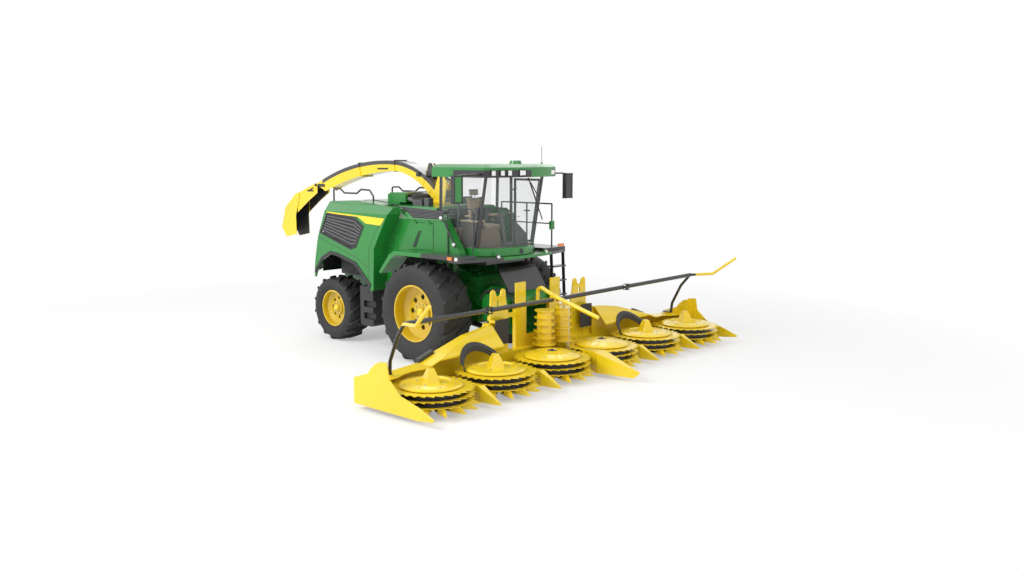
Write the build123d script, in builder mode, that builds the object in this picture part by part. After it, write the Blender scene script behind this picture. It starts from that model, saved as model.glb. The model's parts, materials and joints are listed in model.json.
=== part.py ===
from build123d import *
import os
from math import cos, hypot, pi, sin

# A self-propelled forage harvester with its six-rotor maize header mounted.
# Millimetres, +X forward, +Y left, +Z up, the ground at z = 0, the origin under the middle.
# Every x below is counted from the front axle, which lies AXLE_X ahead of the origin.
AXLE_X = 1240.0

# Wheels
WHEELBASE = 3115.0
FRONT_R = 1000.0
FRONT_WIDTH = 800.0
FRONT_RIM_R = 565.0
FRONT_MID_Y = 1340.0
FRONT_LUGS = 17
REAR_R = 720.0
REAR_WIDTH = 600.0
REAR_RIM_R = 404.0
REAR_MID_Y = 1050.0
REAR_LUGS = 15
LUG_HEIGHT = 45.0
RIM_WALL = 14.0
HUB_GAP = 0.6
PIN_GAP = 0.6
FRONT_SPINDLE_R = 88.0
REAR_SPINDLE_R = 58.0
KINGPIN_Y = 850.0
KINGPIN_R = 34.0

# Frame and bodywork
RAIL_Y = 310.0
RAIL_WIDTH = 110.0
RAIL_HEIGHT = 220.0
RAIL_Z = 1290.0
HOOD_HALF = 1450.0
HOOD_WALL = 35.0
BODY_HALF = 1100.0
BODY_WALL = 30.0
SEAT_GAP = 0.3
MOVE_GAP = 8.0
DOOR_THICK = 28.0

# Cab
CAB_FLOOR_Z = 2130.0
CAB_BEAM_Y = 600.0
CAB_BEAM_Z = 1940.0
ROOF_Z = 3650.0
ROOF_THICK = 250.0
PILLAR_R = 32.0
PILLAR_Y = 815.0
GLASS = 8.0
CAB_REAR_X = -130.0

# Spout
TURRET_X = -860.0
TURRET_Z = 3060.0
TURRET_R = 255.0
SPOUT_WIDTH = 330.0
SPOUT_WALL = 14.0
BOOM_HINGE = (-760.0, 3175.0)
BOOM_PIN_R = 28.0
SPOUT_RAM_FOOT = (-650.0, 3520.0)
SPOUT_RAM_HEAD = (-1250.0, 3880.0)
SPOUT_RAM_R = 34.0
FLAP_HINGE = (-5190.0, 3372.0)
TIP_HINGE = (-5935.0, 3120.0)
FLAP_PIN_R = 14.0

# Header
ROTOR_PITCH = 1500.0
ROTOR_X = 2780.0
ROTOR_R = ROTOR_PITCH / 2 - 30
ROTOR_HAT_R = ROTOR_R - 200
ROTOR_DRUM_R = ROTOR_R - 250
ROTOR_TEETH = 30
ROTOR_LOW_Z = 195.0
ROTOR_TOP_Z = 490.0
ROTOR_PIN_R = 45.0
FOLD_Y = ROTOR_PITCH
FOLD_Z = 950.0
FOLD_PIN_R = 30.0
HEADER_HALF = 3 * ROTOR_PITCH
LIFT_X = 560.0
LIFT_Z = 1180.0
LIFT_PIN_R = 40.0
LIFT_RAM_Y = 540.0
LIFT_RAM_FOOT = (230.0, 760.0)
LIFT_RAM_HEAD = (1250.0, 640.0)
LIFT_RAM_R = 52.0
RAM_PIN_R = 22.0
RAM_EYE_GAP = 8.0
RAM_EYE_THICK = 60.0
LUG_THICK = 20.0
DRUM_X = 2170.0
DRUM_Y = 260.0
DRUM_R = 190.0
DRUM_FLARE = 35.0
DRUM_LOW_Z = 480.0
DRUM_TOP_Z = 1150.0
DRUM_PIN_R = 38.0
BEAM_BACK_X = 1760.0
BEAM_FRONT_X = 1950.0
BEAM_LOW_Z = 200.0
BEAM_TOP_Z = 420.0
PAN_Z = 90.0
BAR_R = 42.0
BAR_ARM_R = 30.0
BAR_HINGE_Y = 2000.0
BAR_PIN_R = 10.0

os.makedirs("parts", exist_ok=True)


def side(y):
    """A plane across the machine at y: its x runs forward from the front axle, its y up."""
    return Plane(origin=(AXLE_X, y, 0), x_dir=(1, 0, 0), z_dir=(0, -1, 0))


def level(z):
    """A level plane at z: its x runs forward from the front axle, its y to the left."""
    return Plane(origin=(AXLE_X, 0, z), x_dir=(1, 0, 0), z_dir=(0, 0, 1))


def face(x):
    """An upright plane at x, seen from ahead: its x runs to the left, its y up."""
    return Plane(origin=(AXLE_X + x, 0, 0), x_dir=(0, 1, 0), z_dir=(1, 0, 0))


def block(x0, x1, y0, y1, z0, z1, mode=Mode.ADD):
    """A box between two corners."""
    with Locations((AXLE_X + (x0 + x1) / 2, (y0 + y1) / 2, (z0 + z1) / 2)):
        Box(x1 - x0, y1 - y0, z1 - z0, mode=mode)


def plate(plane, points, thick, mode=Mode.ADD):
    """A flat plate: the outline in the plane, made thick along its normal."""
    with BuildSketch(plane) as outline:
        Polygon(*points, align=None)
    extrude(outline.sketch, amount=thick, mode=mode)


def rod(start, end, r, mode=Mode.ADD):
    """A round rod between two points."""
    low = Vector(AXLE_X + start[0], start[1], start[2])
    high = Vector(AXLE_X + end[0], end[1], end[2])
    with BuildSketch(Plane(origin=low, z_dir=high - low)) as end_face:
        Circle(r)
    extrude(end_face.sketch, amount=(high - low).length, mode=mode)


def tube(points, r, bend):
    """A bent round rod: straight runs joined by arcs of one radius."""
    route = [Vector(AXLE_X + x, y, z) for x, y, z in points]
    with BuildLine() as path:
        FilletPolyline(*route, radius=bend)
    with BuildSketch(Plane(origin=route[0], z_dir=route[1] - route[0])) as end_face:
        Circle(r)
    sweep(end_face.sketch, path=path.line)


def ram_lugs(centre, root, half):
    """The two plates and the pin that hold a lift ram's eye, on both sides of the machine."""
    for hand in (-1, 1):
        for out in (-1, 1):
            y = hand * LIFT_RAM_Y + out * (RAM_EYE_THICK / 2 + 15)
            plate(side(y + LUG_THICK / 2), ((root[0] - half, root[1]), (centre[0] - 34, centre[1] - 20),
                                 (centre[0], centre[1] - 40), (centre[0] + 34, centre[1] - 20),
                                 (root[0] + half, root[1])), LUG_THICK)
        rod((centre[0], hand * LIFT_RAM_Y - 60, centre[1]), (centre[0], hand * LIFT_RAM_Y + 60,
            centre[1]), RAM_PIN_R)


def mirrored(piece):
    """The left twin of a right-hand piece."""
    with BuildPart() as twin:
        mirror(piece.part, about=Plane.XZ)
    return twin


pieces = {}


# Wheels: a rim with its dish and hub, and a tyre with chevron lugs
def wheel_plane(x, y, z):
    """The half plane that a wheel is turned from: x runs outboard, y is the radius."""
    return Plane(origin=(AXLE_X + x, y, z), x_dir=(0, -1, 0), z_dir=(-1, 0, 0))


def make_rim(x, mid_y, z, rim_r, half, dish, hub_r, bore_r, bore_depth):
    """A rim, with the dish set out from the tyre's middle and the hub's bore from inboard."""
    barrel = rim_r - 25
    inner = barrel - RIM_WALL
    axis = Axis((AXLE_X + x, -mid_y, z), (0, -1, 0))
    with BuildPart() as rim:
        with BuildSketch(wheel_plane(x, -mid_y, z)):
            Polygon(
                (-half, inner + 8), (-half, rim_r), (-half + 12, rim_r), (-half + 16, barrel),
                (half - 16, barrel), (half - 12, rim_r), (half, rim_r), (half, inner + 8),
                (half - 40, inner), (dish + 70, inner), (dish + 20, inner * 0.74),
                (dish + 20, hub_r), (dish + 60, hub_r), (dish + 60, bore_r + 34),
                (dish + 90, bore_r + 22), (dish + 90, 0), (bore_depth, 0), (bore_depth, bore_r),
                (dish - 40, bore_r), (dish - 40, hub_r), (dish, hub_r), (dish, inner * 0.76),
                (dish + 46, inner), (-half + 40, inner),
                align=None,
            )
        revolve(axis=axis)
        hole_ring = (inner * 0.76 + hub_r) / 2
        with BuildSketch(Plane(origin=axis.position, z_dir=(0, -1, 0)).offset(dish - 10)):
            with PolarLocations(hole_ring, 8):
                Circle((inner * 0.76 - hub_r) * 0.28)
        extrude(amount=60, mode=Mode.SUBTRACT)
    return rim


def make_tyre(x, mid_y, z, r, width, rim_r, lugs):
    """A tyre: a turned ring, and two rows of lugs that meet in chevrons."""
    half = width / 2
    carcass = r - LUG_HEIGHT
    bead = rim_r - 25 + SEAT_GAP
    seat = half - 56 - 16
    axis = Axis((AXLE_X + x, -mid_y, z), (0, -1, 0))
    rows = ((0.0, 1), (pi / lugs, -1))
    lean = 0.62
    length = half * 0.93
    with BuildPart() as tyre:
        with BuildSketch(wheel_plane(x, -mid_y, z)):
            Polygon(
                (-seat, bead), (-seat, rim_r + 10), (-half + 8, rim_r + (r - rim_r) * 0.32),
                (-half, rim_r + (r - rim_r) * 0.5), (-half * 0.95, carcass - 35),
                (-half * 0.8, carcass), (half * 0.8, carcass), (half * 0.95, carcass - 35),
                (half, rim_r + (r - rim_r) * 0.5), (half - 8, rim_r + (r - rim_r) * 0.32),
                (seat, rim_r + 10), (seat, bead),
                align=None,
            )
        revolve(axis=axis)
        for start, hand in rows:
            planes = []
            for k in range(lugs):
                turn = start + 2 * pi * k / lugs
                radial = Vector(cos(turn), 0, sin(turn))
                foot = Vector(AXLE_X + x, -mid_y, z) + radial * (carcass - 40)
                planes.append(Plane(origin=foot, x_dir=(0, -hand, 0), z_dir=radial))
            with BuildSketch(*planes):
                swing = length * lean * hand
                wide = r * 0.062
                Polygon(
                    (-14, -swing / 2 - wide * 0.4), (length, swing / 2 - wide * 0.5),
                    (length, swing / 2 + wide * 0.6), (-14, -swing / 2 + wide * 0.5),
                    align=None,
                )
            reach = length * lean / 2 + wide * 0.6
            extrude(amount=(r * r - reach * reach) ** 0.5 - carcass + 40)
    return tyre


FRONT_DISH = 60.0
REAR_DISH = 60.0
front_rim = make_rim(0, FRONT_MID_Y, FRONT_R, FRONT_RIM_R, FRONT_WIDTH / 2 - 56, FRONT_DISH,
                     210, FRONT_SPINDLE_R + HUB_GAP, FRONT_DISH + 60)
front_tyre = make_tyre(0, FRONT_MID_Y, FRONT_R, FRONT_R, FRONT_WIDTH, FRONT_RIM_R, FRONT_LUGS)
rear_rim = make_rim(-WHEELBASE, REAR_MID_Y, REAR_R, REAR_RIM_R, REAR_WIDTH / 2 - 56, REAR_DISH,
                    150, REAR_SPINDLE_R + HUB_GAP, REAR_DISH + 60)
rear_tyre = make_tyre(-WHEELBASE, REAR_MID_Y, REAR_R, REAR_R, REAR_WIDTH, REAR_RIM_R, REAR_LUGS)
for node, piece in (("rim_front", front_rim), ("tyre_front", front_tyre),
                    ("rim_rear", rear_rim), ("tyre_rear", rear_tyre)):
    pieces[node + "_right"] = piece
    pieces[node + "_left"] = mirrored(piece)

# Front axle: a box beam with a final drive and a spindle at each end
HUB_FACE = FRONT_MID_Y + FRONT_DISH - 40
with BuildPart() as front_axle:
    block(-130, 130, -800, 800, FRONT_R - 160, FRONT_R + 130)
    for hand in (-1, 1):
        rod((0, hand * 700, FRONT_R), (0, hand * (HUB_FACE - MOVE_GAP), FRONT_R), 270)
        rod((0, hand * 800, FRONT_R), (0, hand * (FRONT_MID_Y + FRONT_DISH + 50), FRONT_R),
            FRONT_SPINDLE_R)
    for hand in (-1, 1):
        block(-110, 110, hand * RAIL_Y - 80, hand * RAIL_Y + 80,
              FRONT_R + 130, RAIL_Z - RAIL_HEIGHT / 2 - SEAT_GAP)
        block(-70, 70, hand * CAB_BEAM_Y - 45, hand * CAB_BEAM_Y + 45, FRONT_R + 120,
              CAB_BEAM_Z - SEAT_GAP)
    ram_lugs(LIFT_RAM_FOOT, (60, 850), 60)
pieces["front_axle"] = front_axle

# Rear axle: a beam on a middle pivot block, with an eye for each kingpin
EYE_HALF = 60.0
with BuildPart() as rear_axle:
    block(-WHEELBASE - 100, -WHEELBASE + 100, -640, 640, REAR_R - 90, REAR_R + 110)
    for hand in (-1, 1):
        block(-WHEELBASE - 60, -WHEELBASE + 60, min(hand * 640, hand * KINGPIN_Y),
              max(hand * 640, hand * KINGPIN_Y), REAR_R - EYE_HALF, REAR_R + EYE_HALF)
        rod((-WHEELBASE, hand * KINGPIN_Y, REAR_R - EYE_HALF),
            (-WHEELBASE, hand * KINGPIN_Y, REAR_R + EYE_HALF), 80)
        rod((-WHEELBASE, hand * KINGPIN_Y, REAR_R - EYE_HALF),
            (-WHEELBASE, hand * KINGPIN_Y, REAR_R + EYE_HALF), KINGPIN_R + PIN_GAP,
            Mode.SUBTRACT)
    block(-WHEELBASE - 160, -WHEELBASE + 160, -200, 200, REAR_R + 110,
          RAIL_Z - RAIL_HEIGHT / 2 - SEAT_GAP)
    block(-WHEELBASE - 160, -WHEELBASE + 160, -RAIL_Y - RAIL_WIDTH / 2, RAIL_Y + RAIL_WIDTH / 2,
          RAIL_Z - RAIL_HEIGHT / 2 - 60, RAIL_Z - RAIL_HEIGHT / 2 - SEAT_GAP)
pieces["rear_axle"] = rear_axle

# Steering knuckle: a fork round the axle's eye, its kingpin, and the wheel's spindle
with BuildPart() as knuckle:
    for z0, z1 in ((REAR_R - EYE_HALF - 50, REAR_R - EYE_HALF - 5),
                   (REAR_R + EYE_HALF + 5, REAR_R + EYE_HALF + 50)):
        rod((-WHEELBASE, -KINGPIN_Y, z0), (-WHEELBASE, -KINGPIN_Y, z1), 85)
        block(-WHEELBASE - 85, -WHEELBASE + 85, -KINGPIN_Y - 125, -KINGPIN_Y, z0, z1)
    rod((-WHEELBASE, -KINGPIN_Y, REAR_R - EYE_HALF - 60),
        (-WHEELBASE, -KINGPIN_Y, REAR_R + EYE_HALF + 60), KINGPIN_R)
    REAR_HUB_FACE = REAR_MID_Y + REAR_DISH - 40
    rod((-WHEELBASE, -KINGPIN_Y - 92, REAR_R), (-WHEELBASE, -REAR_HUB_FACE + MOVE_GAP, REAR_R), 135)
    rod((-WHEELBASE, -KINGPIN_Y - 92, REAR_R),
        (-WHEELBASE, -(REAR_MID_Y + REAR_DISH + 50), REAR_R), REAR_SPINDLE_R)
pieces["knuckle_right"] = knuckle
pieces["knuckle_left"] = mirrored(knuckle)

# Main frame: two rails, cross members, a tow hitch at the back
FRAME_REAR = -3900.0
FRAME_FRONT = 380.0
HITCH_X = -4130.0
HITCH_Z = 820.0
HITCH_PIN_R = 17.0
TANK_ARM_Y = 1000.0
TANK_X = -WHEELBASE + 995
HOOD_REAR_IN = -4183.0
with BuildPart() as main_frame:
    for hand in (-1, 1):
        block(FRAME_REAR, FRAME_FRONT, hand * RAIL_Y - RAIL_WIDTH / 2,
              hand * RAIL_Y + RAIL_WIDTH / 2, RAIL_Z - RAIL_HEIGHT / 2, RAIL_Z + RAIL_HEIGHT / 2)
    for x in (-3880, -2500, -1650):
        block(x, x + 120, -RAIL_Y, RAIL_Y, RAIL_Z - 80, RAIL_Z + 80)
    block(FRAME_REAR - 60, FRAME_REAR + 20, -260, 260, HITCH_Z - 90, RAIL_Z + 100)
    for z in (HITCH_Z - 60, HITCH_Z + 35):
        block(HITCH_X - 70, FRAME_REAR - 40, -70, 70, z, z + 25)
    rod((HITCH_X, 0, HITCH_Z - 80), (HITCH_X, 0, HITCH_Z + 80), HITCH_PIN_R, Mode.SUBTRACT)
    for x, width, reach, z0, z1 in ((TANK_X + 20, 380, TANK_ARM_Y, RAIL_Z - 60, RAIL_Z + 10),
                                    (-1615, 50, HOOD_HALF - HOOD_WALL - SEAT_GAP, 1310, 1390),
                                    (-1550, 50, BODY_HALF - BODY_WALL - SEAT_GAP, 1310, 1390)):
        block(x, x + width, RAIL_Y, reach, z0, z1)
        block(x, x + width, -reach, -RAIL_Y, z0, z1)
    block(FRAME_REAR - 60, FRAME_REAR, -100, 100, RAIL_Z + 80, 1550)
    block(HOOD_REAR_IN, FRAME_REAR, -100, 100, 1500, 1550)
pieces["main_frame"] = main_frame

# Side tanks between the wheels, with a step recess in each
with BuildPart() as tank_right:
    plate(side(-960), ((TANK_X, 520), (TANK_X + 60, 470), (TANK_X + 380, 470), (TANK_X + 430, 520),
                       (TANK_X + 430, 1320), (TANK_X, 1320)), 350)
    for z in (620, 880):
        block(TANK_X + 120, TANK_X + 430, -1320, -1240, z, z + 140, Mode.SUBTRACT)
    block(TANK_X + 20 - SEAT_GAP, TANK_X + 400 + SEAT_GAP, -TANK_ARM_Y - SEAT_GAP, -900,
          RAIL_Z - 60 - SEAT_GAP, RAIL_Z + 10 + SEAT_GAP, Mode.SUBTRACT)
with BuildPart() as side_tanks:
    add(tank_right.part)
    mirror(tank_right.part, about=Plane.XZ)
pieces["side_tanks"] = side_tanks

# Engine: one plain heavy block inside the hood
with BuildPart() as engine_block:
    block(-3650, -1620, -640, 640, RAIL_Z + RAIL_HEIGHT / 2 + SEAT_GAP, 2620)
pieces["engine_block"] = engine_block

# Rear hood: a rounded shell, open below, with wheel arches and grille openings
HOOD_SIDE = ((-1740, 1280), (-1500, 1280), (-1490, 1440), (-1460, 2160), (-1230, 2530),
             (-1000, 2890), (-1040, 3010), (-2400, 3110), (-3300, 3075), (-4000, 2960),
             (-4230, 2760), (-4230, 1430), (-3570, 1430), (-3300, 1280))
HOOD_ARCH = ((-3600, 1200), (-3450, 1570), (-3230, 1810), (-2950, 1950), (-2730, 1930),
             (-2090, 1780), (-1640, 1380), (-1740, 1200))
GRILLE = ((-3030, 2830), (-2050, 2770), (-1790, 2600), (-2060, 2160), (-2240, 2110), (-3290, 2400))
REAR_EDGE = ((-3060, 3010), (-3350, 2400), (-3410, 2230), (-3530, 1730), (-3590, 1210))
REAR_SWEEP = 1352.0


def rear_form(inset):
    """The space ahead of the hood's rear corners, which run in towards the tail."""
    with BuildPart() as form:
        with BuildSketch(side(HOOD_HALF)):
            Polygon((600, 1000), (600, 3300), (inset - 2925, 3300),
                    *((x + inset, z) for x, z in REAR_EDGE), (inset - 3590, 1000), align=None)
        extrude(amount=hypot(REAR_SWEEP, HOOD_HALF), dir=(-REAR_SWEEP, -HOOD_HALF, 0))
        mirror(about=Plane.XZ)
    return form.part


def hood_block(inset):
    """The hood's outer form, smaller all round by the inset."""
    with BuildPart() as form:
        with BuildSketch(side(HOOD_HALF)):
            Polygon(*HOOD_SIDE, align=None)
            offset(amount=-inset, kind=Kind.INTERSECTION)
        extrude(amount=2 * HOOD_HALF)
        with BuildSketch(level(1000)):
            with BuildLine():
                front_left = (-900, HOOD_HALF - inset)
                front_right = (-900, -HOOD_HALF + inset)
                corner_left = (-3400, HOOD_HALF - inset)
                corner_right = (-3400, -HOOD_HALF + inset)
                tail_left = (-4080 + inset, 900)
                tail_right = (-4080 + inset, -900)
                Polyline(corner_right, front_right, front_left, corner_left)
                ThreePointArc(corner_left, (-3870 + inset * 0.7, 1290 - inset * 0.7), tail_left)
                ThreePointArc(tail_left, (-4220 + inset, 0), tail_right)
                ThreePointArc(tail_right, (-3870 + inset * 0.7, -1290 + inset * 0.7), corner_right)
            make_face()
        extrude(amount=2400, mode=Mode.INTERSECT)
        with BuildSketch(face(-4500)):
            Polygon((-HOOD_HALF, 1000), (HOOD_HALF, 1000), (HOOD_HALF, 2880 - inset),
                    (1080, 3140 - inset), (-1080, 3140 - inset), (-HOOD_HALF, 2880 - inset),
                    align=None)
        extrude(amount=4000, mode=Mode.INTERSECT)
        add(rear_form(inset * 1.35), mode=Mode.INTERSECT)
    return form.part


with BuildPart() as rear_hood:
    add(hood_block(0))
    add(hood_block(HOOD_WALL), mode=Mode.SUBTRACT)
    block(-4100, -1500, -HOOD_HALF + HOOD_WALL, HOOD_HALF - HOOD_WALL, 1200, 1500, Mode.SUBTRACT)
    plate(side(HOOD_HALF + 10), HOOD_ARCH, 2 * HOOD_HALF + 20, Mode.SUBTRACT)
    plate(side(HOOD_HALF + 10), GRILLE, 2 * HOOD_HALF + 20, Mode.SUBTRACT)
    block(-1600, -900, -BODY_HALF - SEAT_GAP, BODY_HALF + SEAT_GAP, 1200, 3200, Mode.SUBTRACT)
pieces["rear_hood"] = rear_hood

# Side grilles: a slatted plate in each hood opening
SLATS = 6
with BuildPart() as grille_right:
    with BuildSketch(side(-HOOD_HALF + HOOD_WALL)):
        Polygon(*GRILLE, align=None)
        offset(amount=-SEAT_GAP, kind=Kind.INTERSECTION)
    extrude(amount=HOOD_WALL - 8)
    for k in range(SLATS):
        drop = 110 * k
        plate(side(-HOOD_HALF + 22), ((-3250 + 12 * k, 2770 - drop), (-1950, 2700 - drop),
                                      (-1950, 2660 - drop), (-3250 + 12 * k, 2730 - drop)),
              60, Mode.SUBTRACT)
with BuildPart() as side_grilles:
    add(grille_right.part)
    mirror(grille_right.part, about=Plane.XZ)
pieces["side_grilles"] = side_grilles

# Side stripes: a thin raised panel along each shoulder of the hood
STRIPE_THICK = 6.0
with BuildPart() as stripe_right:
    with BuildSketch(side(-HOOD_HALF - SEAT_GAP)):
        Polygon((-3040, 2868), (-1090, 2800), (-1235, 2650), (-1700, 2672), (-1960, 2800),
                (-3040, 2836), align=None)
    extrude(amount=STRIPE_THICK)
with BuildPart() as side_stripes:
    add(stripe_right.part)
    mirror(stripe_right.part, about=Plane.XZ)
pieces["side_stripes"] = side_stripes

# Mid body: the green enclosure behind and beside the cab
BODY_SIDE = ((-1560, 1300), (-1500, 1300), (-1240, 1740), (-860, 1990), (-300, 2110), (760, 2130),
             (700, 2250), (320, 2800), (280, 3030), (-1560, 3080))
BODY_TOP_Z = 3080.0
SERVICE_HINGE_Y = BODY_HALF + 14
SERVICE_HINGE_Z = 2745.0
SERVICE_HINGES = (-600.0, -180.0)
with BuildPart() as mid_body:
    plate(side(BODY_HALF), BODY_SIDE, 2 * BODY_HALF)
    with BuildSketch(face(-1700)):
        Polygon((-BODY_HALF, 1200), (BODY_HALF, 1200), (BODY_HALF, 2790), (810, 3030),
                (0, BODY_TOP_Z), (-810, 3030), (-BODY_HALF, 2790), align=None)
    extrude(amount=2600, mode=Mode.INTERSECT)
    block(-1600, -300, -BODY_HALF + BODY_WALL, BODY_HALF - BODY_WALL, 1200, 2760, Mode.SUBTRACT)
    block(-1600, -300, -780, 780, 2700, 3000, Mode.SUBTRACT)
    block(CAB_REAR_X - 60, 900, -940, 940, 2060, 3200, Mode.SUBTRACT)
    block(200, 900, 900, BODY_HALF + 20, 2060, 3200, Mode.SUBTRACT)
    rod((TURRET_X, 0, 2900), (TURRET_X, 0, 3200), TURRET_R + 45, Mode.SUBTRACT)
    plate(side(-BODY_HALF + BODY_WALL + 10), ((-720, 2180), (-20, 2190), (-20, 2740), (-640, 2740)),
          BODY_WALL + 20, Mode.SUBTRACT)
    for x in SERVICE_HINGES:
        block(x, x + 40, -SERVICE_HINGE_Y - 12, -BODY_HALF + 1, SERVICE_HINGE_Z - 12,
              SERVICE_HINGE_Z + 40)
        rod((x, -SERVICE_HINGE_Y, SERVICE_HINGE_Z), (x + 95, -SERVICE_HINGE_Y, SERVICE_HINGE_Z), 8)
pieces["mid_body"] = mid_body

# Service door in the mid body's right wall, hinged along its top edge
with BuildPart() as service_door:
    with BuildSketch(side(-BODY_HALF + DOOR_THICK - 4)):
        Polygon((-714, 2186), (-26, 2196), (-26, 2732), (-636, 2732), align=None)
    extrude(amount=DOOR_THICK)
    plate(side(-BODY_HALF + 10), ((-600, 2230), (-540, 2230), (-390, 2570), (-430, 2570)),
          30, Mode.SUBTRACT)
    for x in SERVICE_HINGES:
        block(x + 47, x + 90, -SERVICE_HINGE_Y - 8, -BODY_HALF - 3, 2705, SERVICE_HINGE_Z)
        rod((x + 47, -SERVICE_HINGE_Y, SERVICE_HINGE_Z), (x + 90, -SERVICE_HINGE_Y, SERVICE_HINGE_Z),
            11)
        rod((x + 40, -SERVICE_HINGE_Y, SERVICE_HINGE_Z), (x + 100, -SERVICE_HINGE_Y, SERVICE_HINGE_Z),
            8 + PIN_GAP, Mode.SUBTRACT)
pieces["service_door"] = service_door

# Air intake: louvred box on the shoulder and the dark engine top behind the spout
with BuildPart() as engine_top:
    plate(side(600), ((-2000, 3081), (-1610, 3053), (-1610, 3086), (-1420, 3086), (-1420, 3250),
                      (-1480, 3290), (-1900, 3290), (-2000, 3240)), 1200)
    for k in range(4):
        block(-1950 + 130 * k, -1880 + 130 * k, -520, 520, 3270, 3300, Mode.SUBTRACT)
pieces["engine_top"] = engine_top

FEEDER_HALF = 420.0
HITCH_FACE_X = 1700.0

# Crop channel: cutterhead housing, blower and the upright duct to the spout
with BuildPart() as crop_channel:
    plate(side(FEEDER_HALF), ((140, 1400), (140, 760), (400, 660), (540, 720), (540, 1480),
                              (450, 1640), (-200, 1900), (-420, 1900), (-420, 1420)),
          2 * FEEDER_HALF)
    plate(side(210), ((-420, 1420), (-180, 1900), (TURRET_X + 200, 2700),
                      (TURRET_X + 200, TURRET_Z - 30), (TURRET_X - 200, TURRET_Z - 30),
                      (TURRET_X - 200, 2600), (-760, 1900), (-640, 1420)), 420)
    block(-640, -200, -FEEDER_HALF, FEEDER_HALF, 1560, 2050)
    for hand in (-1, 1):
        block(-900, FRAME_FRONT + 10, hand * RAIL_Y - RAIL_WIDTH / 2 - SEAT_GAP,
              hand * RAIL_Y + RAIL_WIDTH / 2 + SEAT_GAP, RAIL_Z - RAIL_HEIGHT / 2 - SEAT_GAP,
              RAIL_Z + RAIL_HEIGHT / 2 + SEAT_GAP, Mode.SUBTRACT)
        plate(side(hand * (FEEDER_HALF - 20) + 20),
              ((400, LIFT_Z - 110), (LIFT_X, LIFT_Z - 70), (LIFT_X + 70, LIFT_Z),
               (LIFT_X, LIFT_Z + 70), (400, LIFT_Z + 110)), 40)
        rod((LIFT_X, hand * (FEEDER_HALF - 10), LIFT_Z), (LIFT_X, hand * (FEEDER_HALF + 78), LIFT_Z),
            LIFT_PIN_R)
pieces["crop_channel"] = crop_channel

# Hood rails and the left platform's handrail
PLATFORM_HALF = 1550.0
PLATFORM_Z = 2180.0
HANDRAIL_Y = 1490.0
with BuildPart() as rails:
    for hand in (-1, 1):
        y = hand * 850
        tube(((-3580, y, 3033), (-3580, y, 3330), (-3330, y, 3340), (-3200, y, 3250),
              (-2750, y, 3250), (-2600, y, 3340), (-2300, y, 3330), (-2180, y, 3200),
              (-2180, y, 3096)), 19, 45)
    for x in (-600, 150, 860):
        rod((x, HANDRAIL_Y, PLATFORM_Z + SEAT_GAP), (x, HANDRAIL_Y, 3060), 17)
    rod((-600, HANDRAIL_Y, 3060), (860, HANDRAIL_Y, 3060), 17)
    rod((-600, HANDRAIL_Y, 2640), (860, HANDRAIL_Y, 2640), 14)
pieces["rails"] = rails

# Platforms and fenders over the front wheels, with the cab's beams and the left ladder
LADDER_X = 1100.0
LADDER_FOOT_Z = 500.0
LADDER_TREADS = 5
with BuildPart() as platform:
    for hand in (-1, 1):
        y0 = min(hand * (BODY_HALF + SEAT_GAP), hand * PLATFORM_HALF)
        y1 = max(hand * (BODY_HALF + SEAT_GAP), hand * PLATFORM_HALF)
        block(-700, 1180, y0, y1, 2100, PLATFORM_Z)
    block(210, 1180, 905, BODY_HALF + 5, 2100, PLATFORM_Z)
    with BuildSketch(level(2060)):
        with BuildLine():
            Polyline((880, 1550), (1180, 1550), (1180, 1500))
            ThreePointArc((1180, 1500), (1420, 0), (1180, -1500))
            Polyline((1180, -1500), (1180, -1550), (880, -1550), (880, 1550))
        make_face()
    extrude(amount=60)
    for hand in (-1, 1):
        plate(side(hand * 1325 + 225), ((-1180, 1720), (-1130, 1690), (-800, 2010), (-640, 2110),
                                        (-700, 2180), (-860, 2090)), 450)
        block(-250, 1000, hand * CAB_BEAM_Y - 40, hand * CAB_BEAM_Y + 40, CAB_BEAM_Z, 2050)
        block(900, 1000, hand * CAB_BEAM_Y - 40, hand * CAB_BEAM_Y + 40, 2040, 2065)
        for x in (-100, 820):
            rod((x, hand * CAB_BEAM_Y, 2040), (x, hand * CAB_BEAM_Y, CAB_FLOOR_Z - SEAT_GAP), 45)
        block(1350, 1375, hand * 700 - 45, hand * 700 + 45, 2100, 2180)
    block(900, 960, -CAB_BEAM_Y, CAB_BEAM_Y, CAB_BEAM_Z, 2065)
    for y in (1160, 1540):
        plate(side(y), ((LADDER_X, 2065), (LADDER_X + 70, 2065), (LADDER_X + 150, LADDER_FOOT_Z),
                        (LADDER_X + 80, LADDER_FOOT_Z)), 20)
    for k in range(LADDER_TREADS):
        z = LADDER_FOOT_Z + 60 + k * 300
        x = LADDER_X + (2065 - z) * 80 / (2065 - LADDER_FOOT_Z)
        block(x - 60, x + 110, 1145, 1535, z, z + 30)
pieces["platform"] = platform

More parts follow.
